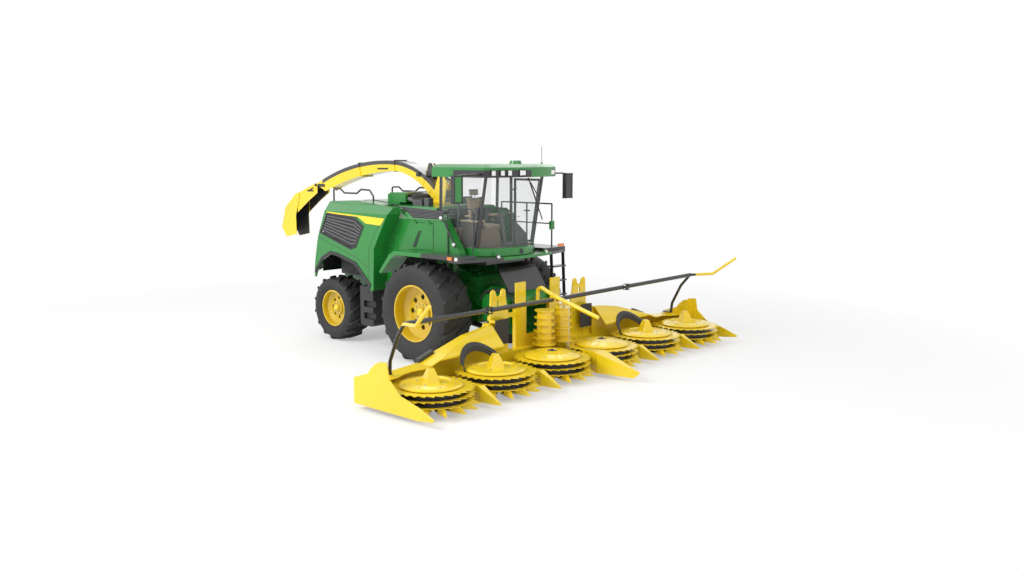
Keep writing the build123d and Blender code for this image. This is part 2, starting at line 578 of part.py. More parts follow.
# Cab frame: floor with the front skirt, pillars, rear wall and door hinges
DOOR_POST_X = 310.0
DOOR_REAR_X = 350.0
DOOR_HINGE_X = 333.0
DOOR_HINGE_Y = 896.0
DOOR_HINGES = (2450.0, 3350.0)
with BuildPart() as cab_frame:
    with BuildSketch(level(CAB_FLOOR_Z)):
        with BuildLine():
            Polyline((-180, -860), (900, -860))
            ThreePointArc((900, -860), (1340, 0), (900, 860))
            Polyline((900, 860), (-180, 860), (-180, -860))
        make_face()
    extrude(amount=150)
    for hand in (-1, 1):
        rod((900, hand * PILLAR_Y, CAB_FLOOR_Z + 120), (1170, hand * PILLAR_Y, ROOF_Z + 20), PILLAR_R)
        rod((-120, hand * PILLAR_Y, CAB_FLOOR_Z + 120), (-80, hand * PILLAR_Y, ROOF_Z + 20), PILLAR_R)
    rod((380, -PILLAR_Y, CAB_FLOOR_Z + 120), (430, -PILLAR_Y, ROOF_Z + 20), 22)
    rod((DOOR_POST_X, PILLAR_Y, CAB_FLOOR_Z + 120), (DOOR_POST_X, PILLAR_Y, ROOF_Z + 20), PILLAR_R)
    for z in DOOR_HINGES:
        block(DOOR_POST_X - 10, DOOR_REAR_X - 5, PILLAR_Y + 15, DOOR_HINGE_Y + 10, z, z + 25)
        rod((DOOR_HINGE_X, DOOR_HINGE_Y, z), (DOOR_HINGE_X, DOOR_HINGE_Y, z + 58), 8)
    block(-300, 1400, -900, 900, ROOF_Z - SEAT_GAP, ROOF_Z + 100, Mode.SUBTRACT)
    block(-180, -140, -700, 700, CAB_FLOOR_Z + 100, 2960)
pieces["cab_frame"] = cab_frame

ROOF_LAMPS = ((-840, 110), (-640, 110), (-470, 110), (-140, 170), (900, 120))
LAMP_Z = 3735.0
BROW_X = 1500.0
BROW_HALF = 1040.0
BROW_BOW = 170.0


def brow_x(y):
    """How far forward the roof's bowed front edge lies."""
    return BROW_X - (y / BROW_HALF) ** 2 * BROW_BOW


# Cab roof: a domed lid with a drooping front brow, and the receiver dome on top
with BuildPart() as cab_roof:
    with BuildSketch(level(ROOF_Z)):
        with BuildLine():
            Polyline((-260, -900), (BROW_X - BROW_BOW, -BROW_HALF))
            ThreePointArc((BROW_X - BROW_BOW, -BROW_HALF), (BROW_X, 0), (BROW_X - BROW_BOW, BROW_HALF))
            Polyline((BROW_X - BROW_BOW, BROW_HALF), (-260, 900), (-260, -900))
        make_face()
    extrude(amount=ROOF_THICK)
    top_edges = cab_roof.faces().sort_by(Axis.Z)[-1].edges()
    chamfer(top_edges, length=60, length2=110)
    with BuildSketch(level(ROOF_Z + ROOF_THICK)):
        with Locations((1180, 0)):
            Circle(130)
    extrude(amount=70, taper=20)
    rod((1080, 900, ROOF_Z + 150), (1080, 900, ROOF_Z + 280), 22)
    rod((1080, 900, ROOF_Z + 250), (1080, 900, 4250), 6)
    for y, width in ROOF_LAMPS:
        x = brow_x(y)
        block(x - 40, x + 60, y - width / 2 - SEAT_GAP, y + width / 2 + SEAT_GAP, LAMP_Z - 45 - SEAT_GAP,
              LAMP_Z + 45 + SEAT_GAP, Mode.SUBTRACT)
pieces["cab_roof"] = cab_roof

# Cab glass: the curved windscreen, the right-hand and rear windows
GLASS_LOW = CAB_FLOOR_Z + 150 + SEAT_GAP
GLASS_HIGH = ROOF_Z - SEAT_GAP


def windscreen_line(z):
    """The windscreen's arc at one height, closed into a thin band."""
    half = PILLAR_Y - PILLAR_R - MOVE_GAP
    lean = (z - CAB_FLOOR_Z) / (ROOF_Z - CAB_FLOOR_Z) * 260
    with BuildSketch(level(z)) as band:
        with BuildLine():
            ThreePointArc((930 + lean, -half), (1290 + lean * 0.5, 0), (930 + lean, half))
            Line((930 + lean, half), (930 + lean - GLASS, half - 3))
            ThreePointArc((930 + lean - GLASS, half - 3), (1290 + lean * 0.5 - GLASS, 0),
                          (930 + lean - GLASS, 3 - half))
            Line((930 + lean - GLASS, 3 - half), (930 + lean, -half))
        make_face()
    return band.sketch


with BuildPart() as cab_glass:
    add(windscreen_line(GLASS_LOW))
    add(windscreen_line(GLASS_HIGH))
    loft()
    plate(side(-PILLAR_Y - PILLAR_R - SEAT_GAP), ((-60, GLASS_LOW), (860, GLASS_LOW),
                                                  (1100, GLASS_HIGH), (-30, GLASS_HIGH)), GLASS)
    plate(side(PILLAR_Y + GLASS / 2), ((-70, GLASS_LOW), (DOOR_POST_X - PILLAR_R - SEAT_GAP, GLASS_LOW),
                                       (DOOR_POST_X - PILLAR_R - SEAT_GAP, GLASS_HIGH),
                                       (-35, GLASS_HIGH)), GLASS)
    plate(face(-150), ((-690, 2980), (690, 2980), (690, GLASS_HIGH), (-690, GLASS_HIGH)), GLASS)
pieces["cab_glass"] = cab_glass

# Cab door on the left: a frame round its glass, hinged at the middle pillar
DOOR_OUTLINE = ((DOOR_REAR_X, 2290), (850, 2290), (1080, 3600), (DOOR_REAR_X, 3600))
DOOR_OUT_Y = PILLAR_Y + PILLAR_R + MOVE_GAP + 30
with BuildPart() as cab_door:
    with BuildSketch(side(DOOR_OUT_Y)):
        Polygon(*DOOR_OUTLINE, align=None)
        offset(amount=-45, kind=Kind.INTERSECTION, mode=Mode.SUBTRACT)
    extrude(amount=30)
    for z in DOOR_HINGES:
        block(DOOR_HINGE_X - 12, DOOR_REAR_X + 40, DOOR_OUT_Y - 5, DOOR_HINGE_Y + 12, z + 28, z + 56)
        rod((DOOR_HINGE_X, DOOR_HINGE_Y, z), (DOOR_HINGE_X, DOOR_HINGE_Y, z + 70), 8 + PIN_GAP,
            Mode.SUBTRACT)
pieces["cab_door"] = cab_door
with BuildPart() as cab_door_glass:
    with BuildSketch(side(DOOR_OUT_Y - GLASS)):
        Polygon(*DOOR_OUTLINE, align=None)
        offset(amount=-45 - SEAT_GAP, kind=Kind.INTERSECTION)
    extrude(amount=GLASS)
pieces["cab_door_glass"] = cab_door_glass

# Operator's seat
FLOOR_TOP = CAB_FLOOR_Z + 150 + SEAT_GAP
with BuildPart() as operator_seat:
    block(150, 450, -180, 180, FLOOR_TOP, 2560)
    block(60, 620, -270, 270, 2560, 2700)
    plate(side(250), ((60, 2650), (190, 2650), (90, 3250), (-30, 3250)), 500)
    block(-40, 60, -140, 140, 3240, 3400)
    for hand in (-1, 1):
        block(120, 520, hand * 330 - 45, hand * 330 + 45, 2820, 2890)
        block(120, 180, hand * 300 - 40, hand * 300 + 40, 2620, 2830)
pieces["operator_seat"] = operator_seat

# Cab console: steering column and wheel, armrest console and display
with BuildPart() as cab_console:
    block(840, 960, -70, 70, FLOOR_TOP, FLOOR_TOP + 40)
    rod((900, 0, FLOOR_TOP + 20), (778, 0, 2858), 42)
    with BuildSketch(Plane(origin=(AXLE_X + 780, 0, 2850), x_dir=(0, 1, 0), z_dir=(-0.45, 0, 1))):
        Circle(210)
        Circle(180, mode=Mode.SUBTRACT)
        Rectangle(370, 30)
        Circle(60)
    extrude(amount=25)
    block(300, 700, -620, -420, FLOOR_TOP, 2760)
    block(640, 680, -600, -340, 2820, 3040)
    rod((650, -520, 2740), (660, -520, 2850), 16)
pieces["cab_console"] = cab_console

# Mirrors on arms from the roof's front corners
with BuildPart() as mirror_right:
    tube(((1250, -960, ROOF_Z + 60), (1230, -1340, ROOF_Z + 60), (1190, -1600, ROOF_Z + 40),
          (1190, -1600, 3300)), 17, 60)
    block(1150, 1230, -1710, -1500, 3190, 3700)
with BuildPart() as mirrors:
    add(mirror_right.part)
    mirror(mirror_right.part, about=Plane.XZ)
    plate(level(ROOF_Z - 5), ((-260, -900 - SEAT_GAP), (BROW_X - BROW_BOW, -BROW_HALF - SEAT_GAP),
                              (BROW_X - BROW_BOW, BROW_HALF + SEAT_GAP), (-260, 900 + SEAT_GAP)),
          ROOF_THICK, Mode.SUBTRACT)
pieces["mirrors"] = mirrors

# Lamps: the roof's front row, the platform's white and amber lamps
with BuildPart() as lamps:
    for y, width in ROOF_LAMPS:
        block(brow_x(y) - 40 + SEAT_GAP, brow_x(y) + 4, y - width / 2, y + width / 2, LAMP_Z - 45,
              LAMP_Z + 45)
    for hand in (-1, 1):
        for x0, x1 in ((880, 1000), (1080, 1140)):
            y0, y1 = sorted((hand * (PLATFORM_HALF + SEAT_GAP), hand * (PLATFORM_HALF + 30)))
            block(x0, x1, y0, y1, 2110, 2170)
        rod((1375 + SEAT_GAP, hand * 700, 2140), (1400, hand * 700, 2140), 30)
pieces["lamps"] = lamps

# Spout turret: the turning base, its cheeks, the boom's hinge pin and the ram's foot pin
SPOUT_HALF = SPOUT_WIDTH / 2
CHEEK_IN = SPOUT_HALF + 14
CHEEK_OUT = CHEEK_IN + 16
with BuildPart() as spout_turret:
    rod((TURRET_X, 0, TURRET_Z - 30 + SEAT_GAP), (TURRET_X, 0, TURRET_Z + 40), TURRET_R)
    for y in (-CHEEK_IN, CHEEK_OUT):
        plate(side(y), ((TURRET_X - 200, TURRET_Z + 30), (TURRET_X + 200, TURRET_Z + 30),
                        (TURRET_X + 280, 3500), (TURRET_X + 160, 3700), (TURRET_X + 40, 3700),
                        (TURRET_X - 120, 3300)), CHEEK_OUT - CHEEK_IN)
    rod((BOOM_HINGE[0], -CHEEK_OUT - 10, BOOM_HINGE[1]), (BOOM_HINGE[0], CHEEK_OUT + 10, BOOM_HINGE[1]),
        BOOM_PIN_R)
    rod((SPOUT_RAM_FOOT[0], -CHEEK_OUT, SPOUT_RAM_FOOT[1]),
        (SPOUT_RAM_FOOT[0], CHEEK_OUT, SPOUT_RAM_FOOT[1]), RAM_PIN_R)
    rod((TURRET_X, 0, TURRET_Z - 40), (TURRET_X, 0, TURRET_Z + 50), 150, Mode.SUBTRACT)
pieces["spout_turret"] = spout_turret

# Spout boom: a curved duct, open below at its tail, on an eye round the turret's pin
BOOM_TOP = ((-690, 3120), (-820, 3300), (-990, 3450), (-1470, 3750), (-2270, 3955),
            (-3530, 3890), (-5200, 3390))
SPOUT_FLANGES = ((-1095, 3349, 45, 240, 7), (-1306, 3523, 31, 243, 7), (-2270, 3847, 0, 215, 20),
                 (-3495, 3750, -14, 289, 20))
BOOM_UNDER = ((-4840, 3230), (-3460, 3610), (-2270, 3740), (-1370, 3420), (-1020, 3120))
with BuildPart() as spout_boom:
    with BuildSketch(side(SPOUT_HALF)) as boom_side:
        with BuildLine():
            for k in (0, 2, 4):
                ThreePointArc(*BOOM_TOP[k:k + 3])
            Line(BOOM_TOP[-1], BOOM_UNDER[0])
            for k in (0, 2):
                ThreePointArc(*BOOM_UNDER[k:k + 3])
            Line(BOOM_UNDER[-1], BOOM_TOP[0])
        make_face()
    extrude(amount=SPOUT_WIDTH)
    for x, z, lean, tall, proud in SPOUT_FLANGES:
        with Locations(Location((AXLE_X + x, 0, z), (0, lean, 0))):
            Box(16, SPOUT_WIDTH + 2 * proud, tall + 44)
    with BuildSketch(side(SPOUT_HALF - SPOUT_WALL)):
        add(boom_side.sketch_local)
        offset(amount=-SPOUT_WALL, kind=Kind.INTERSECTION)
        Polygon((-5260, 3340), (-4700, 3560), (-4500, 3290), (-4900, 3180), align=None)
        Polygon((-1010, 3180), (-1000, 3000), (-710, 3000), (-712, 3180), align=None)
        Polygon((-5400, 3500), (-4000, 4100), (-4000, 3740), (-5190, 3372), align=None,
                mode=Mode.SUBTRACT)
    extrude(amount=SPOUT_WIDTH - 2 * SPOUT_WALL, mode=Mode.SUBTRACT)
    for y0, y1 in ((-SPOUT_HALF, -SPOUT_HALF + 40), (SPOUT_HALF - 40, SPOUT_HALF)):
        rod((BOOM_HINGE[0], y0, BOOM_HINGE[1]), (BOOM_HINGE[0], y1, BOOM_HINGE[1]), 55)
    rod((BOOM_HINGE[0], -SPOUT_HALF, BOOM_HINGE[1]), (BOOM_HINGE[0], SPOUT_HALF, BOOM_HINGE[1]),
        BOOM_PIN_R + PIN_GAP, Mode.SUBTRACT)
    rod((FLAP_HINGE[0], -SPOUT_HALF - 30, FLAP_HINGE[1]), (FLAP_HINGE[0], SPOUT_HALF + 30,
        FLAP_HINGE[1]), FLAP_PIN_R)
    for y in (-45, 60):
        plate(side(y), ((SPOUT_RAM_HEAD[0] - 110, 3660), (SPOUT_RAM_HEAD[0] + 110, 3560),
                        (SPOUT_RAM_HEAD[0] + 30, SPOUT_RAM_HEAD[1] + 30),
                        (SPOUT_RAM_HEAD[0] - 30, SPOUT_RAM_HEAD[1] + 30)), 15)
    rod((SPOUT_RAM_HEAD[0], -60, SPOUT_RAM_HEAD[1]), (SPOUT_RAM_HEAD[0], 60, SPOUT_RAM_HEAD[1]),
        RAM_PIN_R)
pieces["spout_boom"] = spout_boom

# Deflectors: two hinged troughs at the spout's end, each a little wider than the last
FLAP_WALL = 8.0
FLAP_IN = SPOUT_HALF + MOVE_GAP
FLAP_OUT = FLAP_IN + FLAP_WALL
TIP_IN = FLAP_OUT + MOVE_GAP
TIP_OUT = TIP_IN + FLAP_WALL
with BuildPart() as deflector_inner:
    plate(side(FLAP_OUT), ((-5150, 3400), (-5250, 3400), (-5960, 3160), (-5990, 2680),
                           (-5500, 2990), (-5150, 3180)), 2 * FLAP_OUT)
    plate(side(FLAP_IN), ((-5100, 3450), (-5235, 3410), (-5255, 3372), (-5952, 3136),
                          (-6100, 2500), (-5480, 2900), (-5000, 3100)), 2 * FLAP_IN, Mode.SUBTRACT)
    rod((FLAP_HINGE[0], -FLAP_OUT - 5, FLAP_HINGE[1]), (FLAP_HINGE[0], FLAP_OUT + 5, FLAP_HINGE[1]),
        FLAP_PIN_R + PIN_GAP, Mode.SUBTRACT)
    for y0, y1 in ((-TIP_OUT - 5, -FLAP_IN), (FLAP_IN, TIP_OUT + 5)):
        rod((TIP_HINGE[0], y0, TIP_HINGE[1]), (TIP_HINGE[0], y1, TIP_HINGE[1]), FLAP_PIN_R)
pieces["deflector_inner"] = deflector_inner
with BuildPart() as deflector_tip:
    plate(side(TIP_OUT), ((-5890, 3160), (-6010, 3160), (-6500, 2790), (-6680, 2280), (-6490, 2050),
                          (-6050, 2130), (-6060, 2600), (-5890, 3050)), 2 * TIP_OUT)
    plate(side(TIP_IN), ((-5800, 3200), (-5990, 3175), (-6000, 3140), (-6488, 2774), (-6664, 2284),
                         (-6478, 2000), (-5900, 2000), (-6000, 2600), (-5800, 3050)),
          2 * TIP_IN, Mode.SUBTRACT)
    rod((TIP_HINGE[0], -TIP_OUT - 5, TIP_HINGE[1]), (TIP_HINGE[0], TIP_OUT + 5, TIP_HINGE[1]),
        FLAP_PIN_R + PIN_GAP, Mode.SUBTRACT)
pieces["deflector_tip"] = deflector_tip


def ram_point(foot, head, share):
    """A point of the line from a ram's foot pin to its head pin, at a share of its length."""
    return (foot[0] + (head[0] - foot[0]) * share, foot[1] + (head[1] - foot[1]) * share)


def make_ram(foot, head, ys, r, thick):
    """A hydraulic ram at each y: a barrel with a foot eye, and a rod with a head eye."""
    length = hypot(head[0] - foot[0], head[1] - foot[1])
    low = ram_point(foot, head, (RAM_PIN_R + 40) / length)
    shank = ram_point(foot, head, (RAM_PIN_R + 10) / length)
    mouth = ram_point(foot, head, 0.66)
    inner = ram_point(foot, head, 0.34)
    seat = ram_point(foot, head, 0.16)
    neck = ram_point(foot, head, 1 - (RAM_PIN_R + RAM_EYE_GAP + 6) / length)
    with BuildPart() as barrel:
        for y in ys:
            rod((low[0], y, low[1]), (mouth[0], y, mouth[1]), r)
            rod((shank[0], y, shank[1]), (low[0], y, low[1]), thick / 2 - 4)
            rod((foot[0], y - thick / 2, foot[1]), (foot[0], y + thick / 2, foot[1]), RAM_PIN_R + 18)
            rod((seat[0], y, seat[1]), (head[0], y, head[1]), r * 0.56 + PIN_GAP, Mode.SUBTRACT)
            rod((foot[0], y - thick, foot[1]), (foot[0], y + thick, foot[1]), RAM_PIN_R + PIN_GAP,
                Mode.SUBTRACT)
    with BuildPart() as piston:
        for y in ys:
            rod((inner[0], y, inner[1]), (neck[0], y, neck[1]), r * 0.56)
            rod((head[0], y - thick / 2, head[1]), (head[0], y + thick / 2, head[1]),
                RAM_PIN_R + RAM_EYE_GAP + 14)
            rod((head[0], y - thick, head[1]), (head[0], y + thick, head[1]),
                RAM_PIN_R + RAM_EYE_GAP, Mode.SUBTRACT)
    return barrel, piston


# Rams: one lifts the spout, a pair lifts the feeder house with the header
spout_barrel, spout_rod = make_ram(SPOUT_RAM_FOOT, SPOUT_RAM_HEAD, (0,), SPOUT_RAM_R, RAM_EYE_THICK)
lift_barrels, lift_rods = make_ram(LIFT_RAM_FOOT, LIFT_RAM_HEAD, (-LIFT_RAM_Y, LIFT_RAM_Y),
                                   LIFT_RAM_R, RAM_EYE_THICK)
pieces["spout_barrel"] = spout_barrel
pieces["spout_rod"] = spout_rod
pieces["lift_barrels"] = lift_barrels
pieces["lift_rods"] = lift_rods


# Feeder house: hinged on a cross pin ahead of the cutterhead, it carries the header
GEAR_HALF = 780.0
MOUTH_HALF = 340.0
MOUTH_LOW = 640.0
MOUTH_HIGH = 1180.0
with BuildPart() as feeder_house:
    plate(side(FEEDER_HALF), ((LIFT_X + 90, 900), (1100, 700), (HITCH_FACE_X, 520),
                              (HITCH_FACE_X, 1350), (1300, 1520), (900, 1500),
                              (LIFT_X + 90, 1330)), 2 * FEEDER_HALF)
    for y in (-FEEDER_HALF + 1, GEAR_HALF):
        plate(side(y), ((1020, 900), (1400, 800), (1640, 860), (1640, 1300), (1400, 1440),
                        (1020, 1400)), GEAR_HALF - FEEDER_HALF + 1)
    block(900, HITCH_FACE_X + 20, -MOUTH_HALF, MOUTH_HALF, MOUTH_LOW, MOUTH_HIGH, Mode.SUBTRACT)
    plate(side(550), ((1180, 1500), (1300, 1500), (1520, 1430), (1530, 1442), (1222, 1880),
                      (1210, 1880), (1420, 1500)), 1100)
    for hand in (-1, 1):
        plate(side(hand * (FEEDER_HALF + 45) + 20),
              ((LIFT_X - 70, LIFT_Z - 60), (LIFT_X, LIFT_Z - 90), (LIFT_X + 130, LIFT_Z - 110),
               (900, 1000), (900, 1350), (LIFT_X + 90, LIFT_Z + 110), (LIFT_X - 70, LIFT_Z + 60)), 40)
        block(720, 880, min(hand * (FEEDER_HALF - 10), hand * (FEEDER_HALF + 65)),
              max(hand * (FEEDER_HALF - 10), hand * (FEEDER_HALF + 65)), 1020, 1330)
        rod((LIFT_X, hand * (FEEDER_HALF + 20), LIFT_Z), (LIFT_X, hand * (FEEDER_HALF + 70), LIFT_Z),
            LIFT_PIN_R + PIN_GAP, Mode.SUBTRACT)
    ram_lugs(LIFT_RAM_HEAD, (1300, 900), 140)
pieces["feeder_house"] = feeder_house

# Header rotor: toothed discs on a drum, with a hat and a cone or a cap on top


def make_rotor(y, cone):
    """One gathering rotor on its fixed pin."""
    axis_point = (AXLE_X + ROTOR_X, y)
    with BuildPart() as rotor:
        for z in (ROTOR_LOW_Z, ROTOR_LOW_Z + 105, ROTOR_LOW_Z + 205):
            with BuildSketch(Plane(origin=(*axis_point, z))):
                saw = []
                for k in range(ROTOR_TEETH):
                    root = 2 * pi * k / ROTOR_TEETH
                    tip = root + 2 * pi / ROTOR_TEETH * 0.8
                    saw.append(((ROTOR_R - 85) * cos(root), (ROTOR_R - 85) * sin(root)))
                    saw.append((ROTOR_R * cos(tip), ROTOR_R * sin(tip)))
                Polygon(*saw, align=None)
            extrude(amount=12)
        with BuildSketch(Plane(origin=(*axis_point, 0), x_dir=(1, 0, 0), z_dir=(0, -1, 0))):
            if cone:
                top = ((345, ROTOR_TOP_Z), (325, ROTOR_TOP_Z - 22), (0, ROTOR_TOP_Z - 6))
            else:
                top = ((330, ROTOR_TOP_Z + 18), (120, ROTOR_TOP_Z + 40), (105, ROTOR_TOP_Z + 40),
                       (95, ROTOR_TOP_Z + 20), (0, ROTOR_TOP_Z + 20))
            Polygon((ROTOR_PIN_R + PIN_GAP, ROTOR_LOW_Z), (ROTOR_DRUM_R, ROTOR_LOW_Z),
                    (ROTOR_DRUM_R, ROTOR_TOP_Z - 72), (ROTOR_HAT_R, ROTOR_TOP_Z - 62),
                    (ROTOR_HAT_R, ROTOR_TOP_Z - 48), (ROTOR_HAT_R - 40, ROTOR_TOP_Z - 22), *top,
                    (0, ROTOR_LOW_Z + 115), (ROTOR_PIN_R + PIN_GAP, ROTOR_LOW_Z + 115), align=None)
        revolve(axis=Axis((*axis_point, 0), (0, 0, 1)))
        if cone:
            with BuildSketch(Plane(origin=(*axis_point, ROTOR_TOP_Z - 20))):
                RegularPolygon(185, 4, rotation=20)
                fillet(vertices(), 45)
            extrude(amount=230, taper=20)
        rod((ROTOR_X, y, ROTOR_LOW_Z - 10), (ROTOR_X, y, ROTOR_LOW_Z + 115), ROTOR_PIN_R + PIN_GAP,
            Mode.SUBTRACT)
    return rotor


ROTOR_ROWS = (("inner", 0.5, False), ("middle", 1.5, True), ("outer", 2.5, True))
for place, share, cone in ROTOR_ROWS:
    for hand, word in ((-1, "right"), (1, "left")):
        pieces[f"rotor_{place}_{word}"] = make_rotor(hand * share * ROTOR_PITCH, cone)


# Lifting finger: a flat root under the rotor and a ridged point ahead of its teeth
FINGER_TIP = ROTOR_R + 85
FINGER_RIDGE = 92.0
with BuildPart() as finger:
    with BuildSketch(Plane.XY.offset(PAN_Z)):
        Polygon((180, -55), (540, -62), (FINGER_TIP, -4), (FINGER_TIP, 4), (540, 62), (180, 55),
                align=None)
    extrude(amount=FINGER_RIDGE)
    with BuildSketch(Plane.XZ):
        Polygon((180, PAN_Z), (180, PAN_Z + 16), (470, PAN_Z + 16), (590, PAN_Z + FINGER_RIDGE),
                (640, PAN_Z + FINGER_RIDGE), (FINGER_TIP, PAN_Z + 12), (FINGER_TIP, PAN_Z), align=None)
    extrude(amount=80, both=True, mode=Mode.INTERSECT)


def gearcase(y):
    """The case under a rotor, with the pin that the rotor turns on and its lifting fingers."""
    block(BEAM_FRONT_X - 5, ROTOR_X, y - 130, y + 130, PAN_Z, PAN_Z + 80)
    rod((ROTOR_X, y, PAN_Z), (ROTOR_X, y, ROTOR_LOW_Z - MOVE_GAP), 260)
    rod((ROTOR_X, y, PAN_Z), (ROTOR_X, y, ROTOR_LOW_Z + 105), ROTOR_PIN_R)
    for turn in (-50, -25, 0, 25, 50):
        with Locations(Location((AXLE_X + ROTOR_X, y, 0), (0, 0, turn))):
            add(finger.part)


SKID_HALF = 24.0


def divider(x_root, x_tip, y, half, root_half, z_root, z_tip, x_skid):
    """A crop divider: a pointed hood on a skid that runs back to the beam."""
    with BuildPart() as hood:
        with BuildSketch(level(0)):
            Polygon((x_root, y - root_half), (x_root + (x_tip - x_root) * 0.35, y - half),
                    (x_tip, y - 8), (x_tip, y + 8), (x_root + (x_tip - x_root) * 0.35, y + half),
                    (x_root, y + root_half), align=None)
        extrude(amount=900)
        with BuildSketch(side(y + half)):
            Polygon((x_root, PAN_Z - 10), (x_root, z_root), (x_root + (x_tip - x_root) * 0.3, z_root),
                    (x_tip, z_tip + 12), (x_tip, z_tip - 12), (x_tip - 120, PAN_Z - 10), align=None)
        extrude(amount=2 * half, mode=Mode.INTERSECT)
    add(hood.part)
    block(x_skid, x_root - SEAT_GAP, y - SKID_HALF, y + SKID_HALF, PAN_Z, PAN_Z + 80)


# Header frame: the middle beam, hitch frame, posts, fold lugs and the middle dividers
HITCH_BACK_X = HITCH_FACE_X + SEAT_GAP
HITCH_TOP_Z = 1260.0
WING_GAP = 15.0
FLAP_X = 1985.0
POST = ((930, BEAM_TOP_Z - 10), (930, 1180), (985, 1380), (1010, 1580), (1060, 1610), (1110, 1580),
        (1140, 1480), (1250, 1480), (1280, 1580), (1330, 1610), (1390, 1580), (1420, 1180),
        (1420, BEAM_TOP_Z - 10))
with BuildPart() as header_frame:
    block(BEAM_BACK_X, BEAM_FRONT_X, -FOLD_Y + WING_GAP, FOLD_Y - WING_GAP, BEAM_LOW_Z, BEAM_TOP_Z)
    block(BEAM_BACK_X + 10, BEAM_FRONT_X, -FOLD_Y + WING_GAP, FOLD_Y - WING_GAP, PAN_Z, BEAM_LOW_Z)
    block(HITCH_BACK_X, BEAM_BACK_X + 20, -650, 650, BEAM_LOW_Z, HITCH_TOP_Z)
    block(HITCH_BACK_X - 5, BEAM_BACK_X + 25, -MOUTH_HALF, MOUTH_HALF, MOUTH_LOW, MOUTH_HIGH,
          Mode.SUBTRACT)
    for hand in (-1, 1):
        block(BEAM_BACK_X, BEAM_BACK_X + 30, min(hand * 370, hand * 650), max(hand * 370, hand * 650),
              1200, 1670)
        plate(face(BEAM_BACK_X + 60), [(hand * y, z) for y, z in POST], 30)
        block(BEAM_BACK_X + 50, BEAM_BACK_X + 100, min(hand * 1165, hand * 1225),
              max(hand * 1165, hand * 1225), 1230, 1400, Mode.SUBTRACT)
        block(BEAM_BACK_X, BEAM_BACK_X + 60, min(hand * 600, hand * 1400),
              max(hand * 600, hand * 1400), 1040, 1120)
        for y in (hand * 1090, hand * 1400):
            block(BEAM_BACK_X + 80, FLAP_X, y - 20, y + 20, 1010, 1060)
        plate(face(BEAM_BACK_X + 45), ((hand * 1480, BEAM_TOP_Z - 10), (hand * 1490, FOLD_Z - 80),
                                       (hand * (FOLD_Y + 60), FOLD_Z - 30),
                                       (hand * (FOLD_Y + 60), FOLD_Z + 30),
                                       (hand * (FOLD_Y - 10), FOLD_Z + 65), (hand * 1380, FOLD_Z + 40),
                                       (hand * 1280, BEAM_TOP_Z - 10)), 90)
        rod((BEAM_BACK_X + 10, hand * FOLD_Y, FOLD_Z), (BEAM_FRONT_X - 28, hand * FOLD_Y, FOLD_Z),
            FOLD_PIN_R)
        gearcase(hand * ROTOR_PITCH / 2)
        rod((DRUM_X, hand * DRUM_Y, PAN_Z), (DRUM_X, hand * DRUM_Y, DRUM_LOW_Z - 5), 52)
        rod((DRUM_X, hand * DRUM_Y, PAN_Z), (DRUM_X, hand * DRUM_Y, DRUM_LOW_Z + 150), DRUM_PIN_R)
    block(BEAM_FRONT_X - 5, DRUM_X + 60, -DRUM_Y - 60, DRUM_Y + 60, PAN_Z, PAN_Z + 80)
    for hand in (-1, 1):
        divider(2990, 3620, hand * FOLD_Y, 62, 32, 340, 100, BEAM_FRONT_X + MOVE_GAP)
        block(BEAM_FRONT_X - 5, BEAM_FRONT_X + 80, hand * FOLD_Y - hand * 60 - 43,
              hand * FOLD_Y - hand * 60 + 43, PAN_Z, PAN_Z + 80)
    divider(2900, 4210, 0, 150, 22, 470, 190, DRUM_X)
    tube(((BEAM_BACK_X + 15, 0, HITCH_TOP_Z + SEAT_GAP), (BEAM_BACK_X + 15, 0, 1560), (2240, 0, 1370),
          (3260, 0, 1090)), 40, 90)
    rod((2200, -60, 1368), (2200, 60, 1368), 55)
pieces["header_frame"] = header_frame

# Drums: ribbed upright drums that pass the crop from the rotors to the feeder
for hand, word in ((-1, "right"), (1, "left")):
    with BuildPart() as drum:
        rod((DRUM_X, hand * DRUM_Y, DRUM_LOW_Z), (DRUM_X, hand * DRUM_Y, DRUM_TOP_Z), DRUM_R - 50)
        for k in range(6):
            z = DRUM_LOW_Z + k * (DRUM_TOP_Z - DRUM_LOW_Z - 20) / 5
            with BuildSketch(level(z)):
                with Locations((DRUM_X, hand * DRUM_Y)):
                    RegularPolygon(DRUM_R + DRUM_FLARE * (1 - k / 5), 12)
            extrude(amount=20)
        rod((DRUM_X, hand * DRUM_Y, DRUM_LOW_Z - 10), (DRUM_X, hand * DRUM_Y, DRUM_LOW_Z + 158),
            DRUM_PIN_R + PIN_GAP, Mode.SUBTRACT)
    pieces[f"drum_{word}"] = drum

# Right wing: beam, fold arms, gearcases, rear cowl, dividers, end guard, push bar rod
COWL_TOP = ((-1520, 985), (-1700, 985), (-2240, 910), (-2900, 720), (-3310, 580), (-4430, 500))
WING_IN = FOLD_Y + WING_GAP
WING_OUT = HEADER_HALF - 40
BAR_IN = (2200.0, 0.0, 1320.0)
BAR_OUT = (2630.0, HEADER_HALF - 340, 1450.0)
BAR_KNEE = (3100.0, 170 - HEADER_HALF, 1500.0)
BAR_TIP = (3570.0, 30 - HEADER_HALF, 1870.0)
BAR_FOOT_Y = 400 - HEADER_HALF
ARM_FOOT_Z = 560.0
END_THICK = 22.0
COWL_WALL = 20.0
COWL_ARCH_R = ROTOR_HAT_R + 25
COWL_BACK = ((BEAM_FRONT_X - 20, BEAM_TOP_Z - 10), (BEAM_FRONT_X - 20, 1000), (1990, 1000), (2480, 470),
             (2480, BEAM_TOP_Z + 10), (BEAM_FRONT_X, BEAM_TOP_Z + 10), (BEAM_FRONT_X, BEAM_TOP_Z - 10))
COWL_HOLLOW = ((BEAM_FRONT_X, 380), (BEAM_FRONT_X, 980), (1980, 980), (2460, 461), (2460, 380))


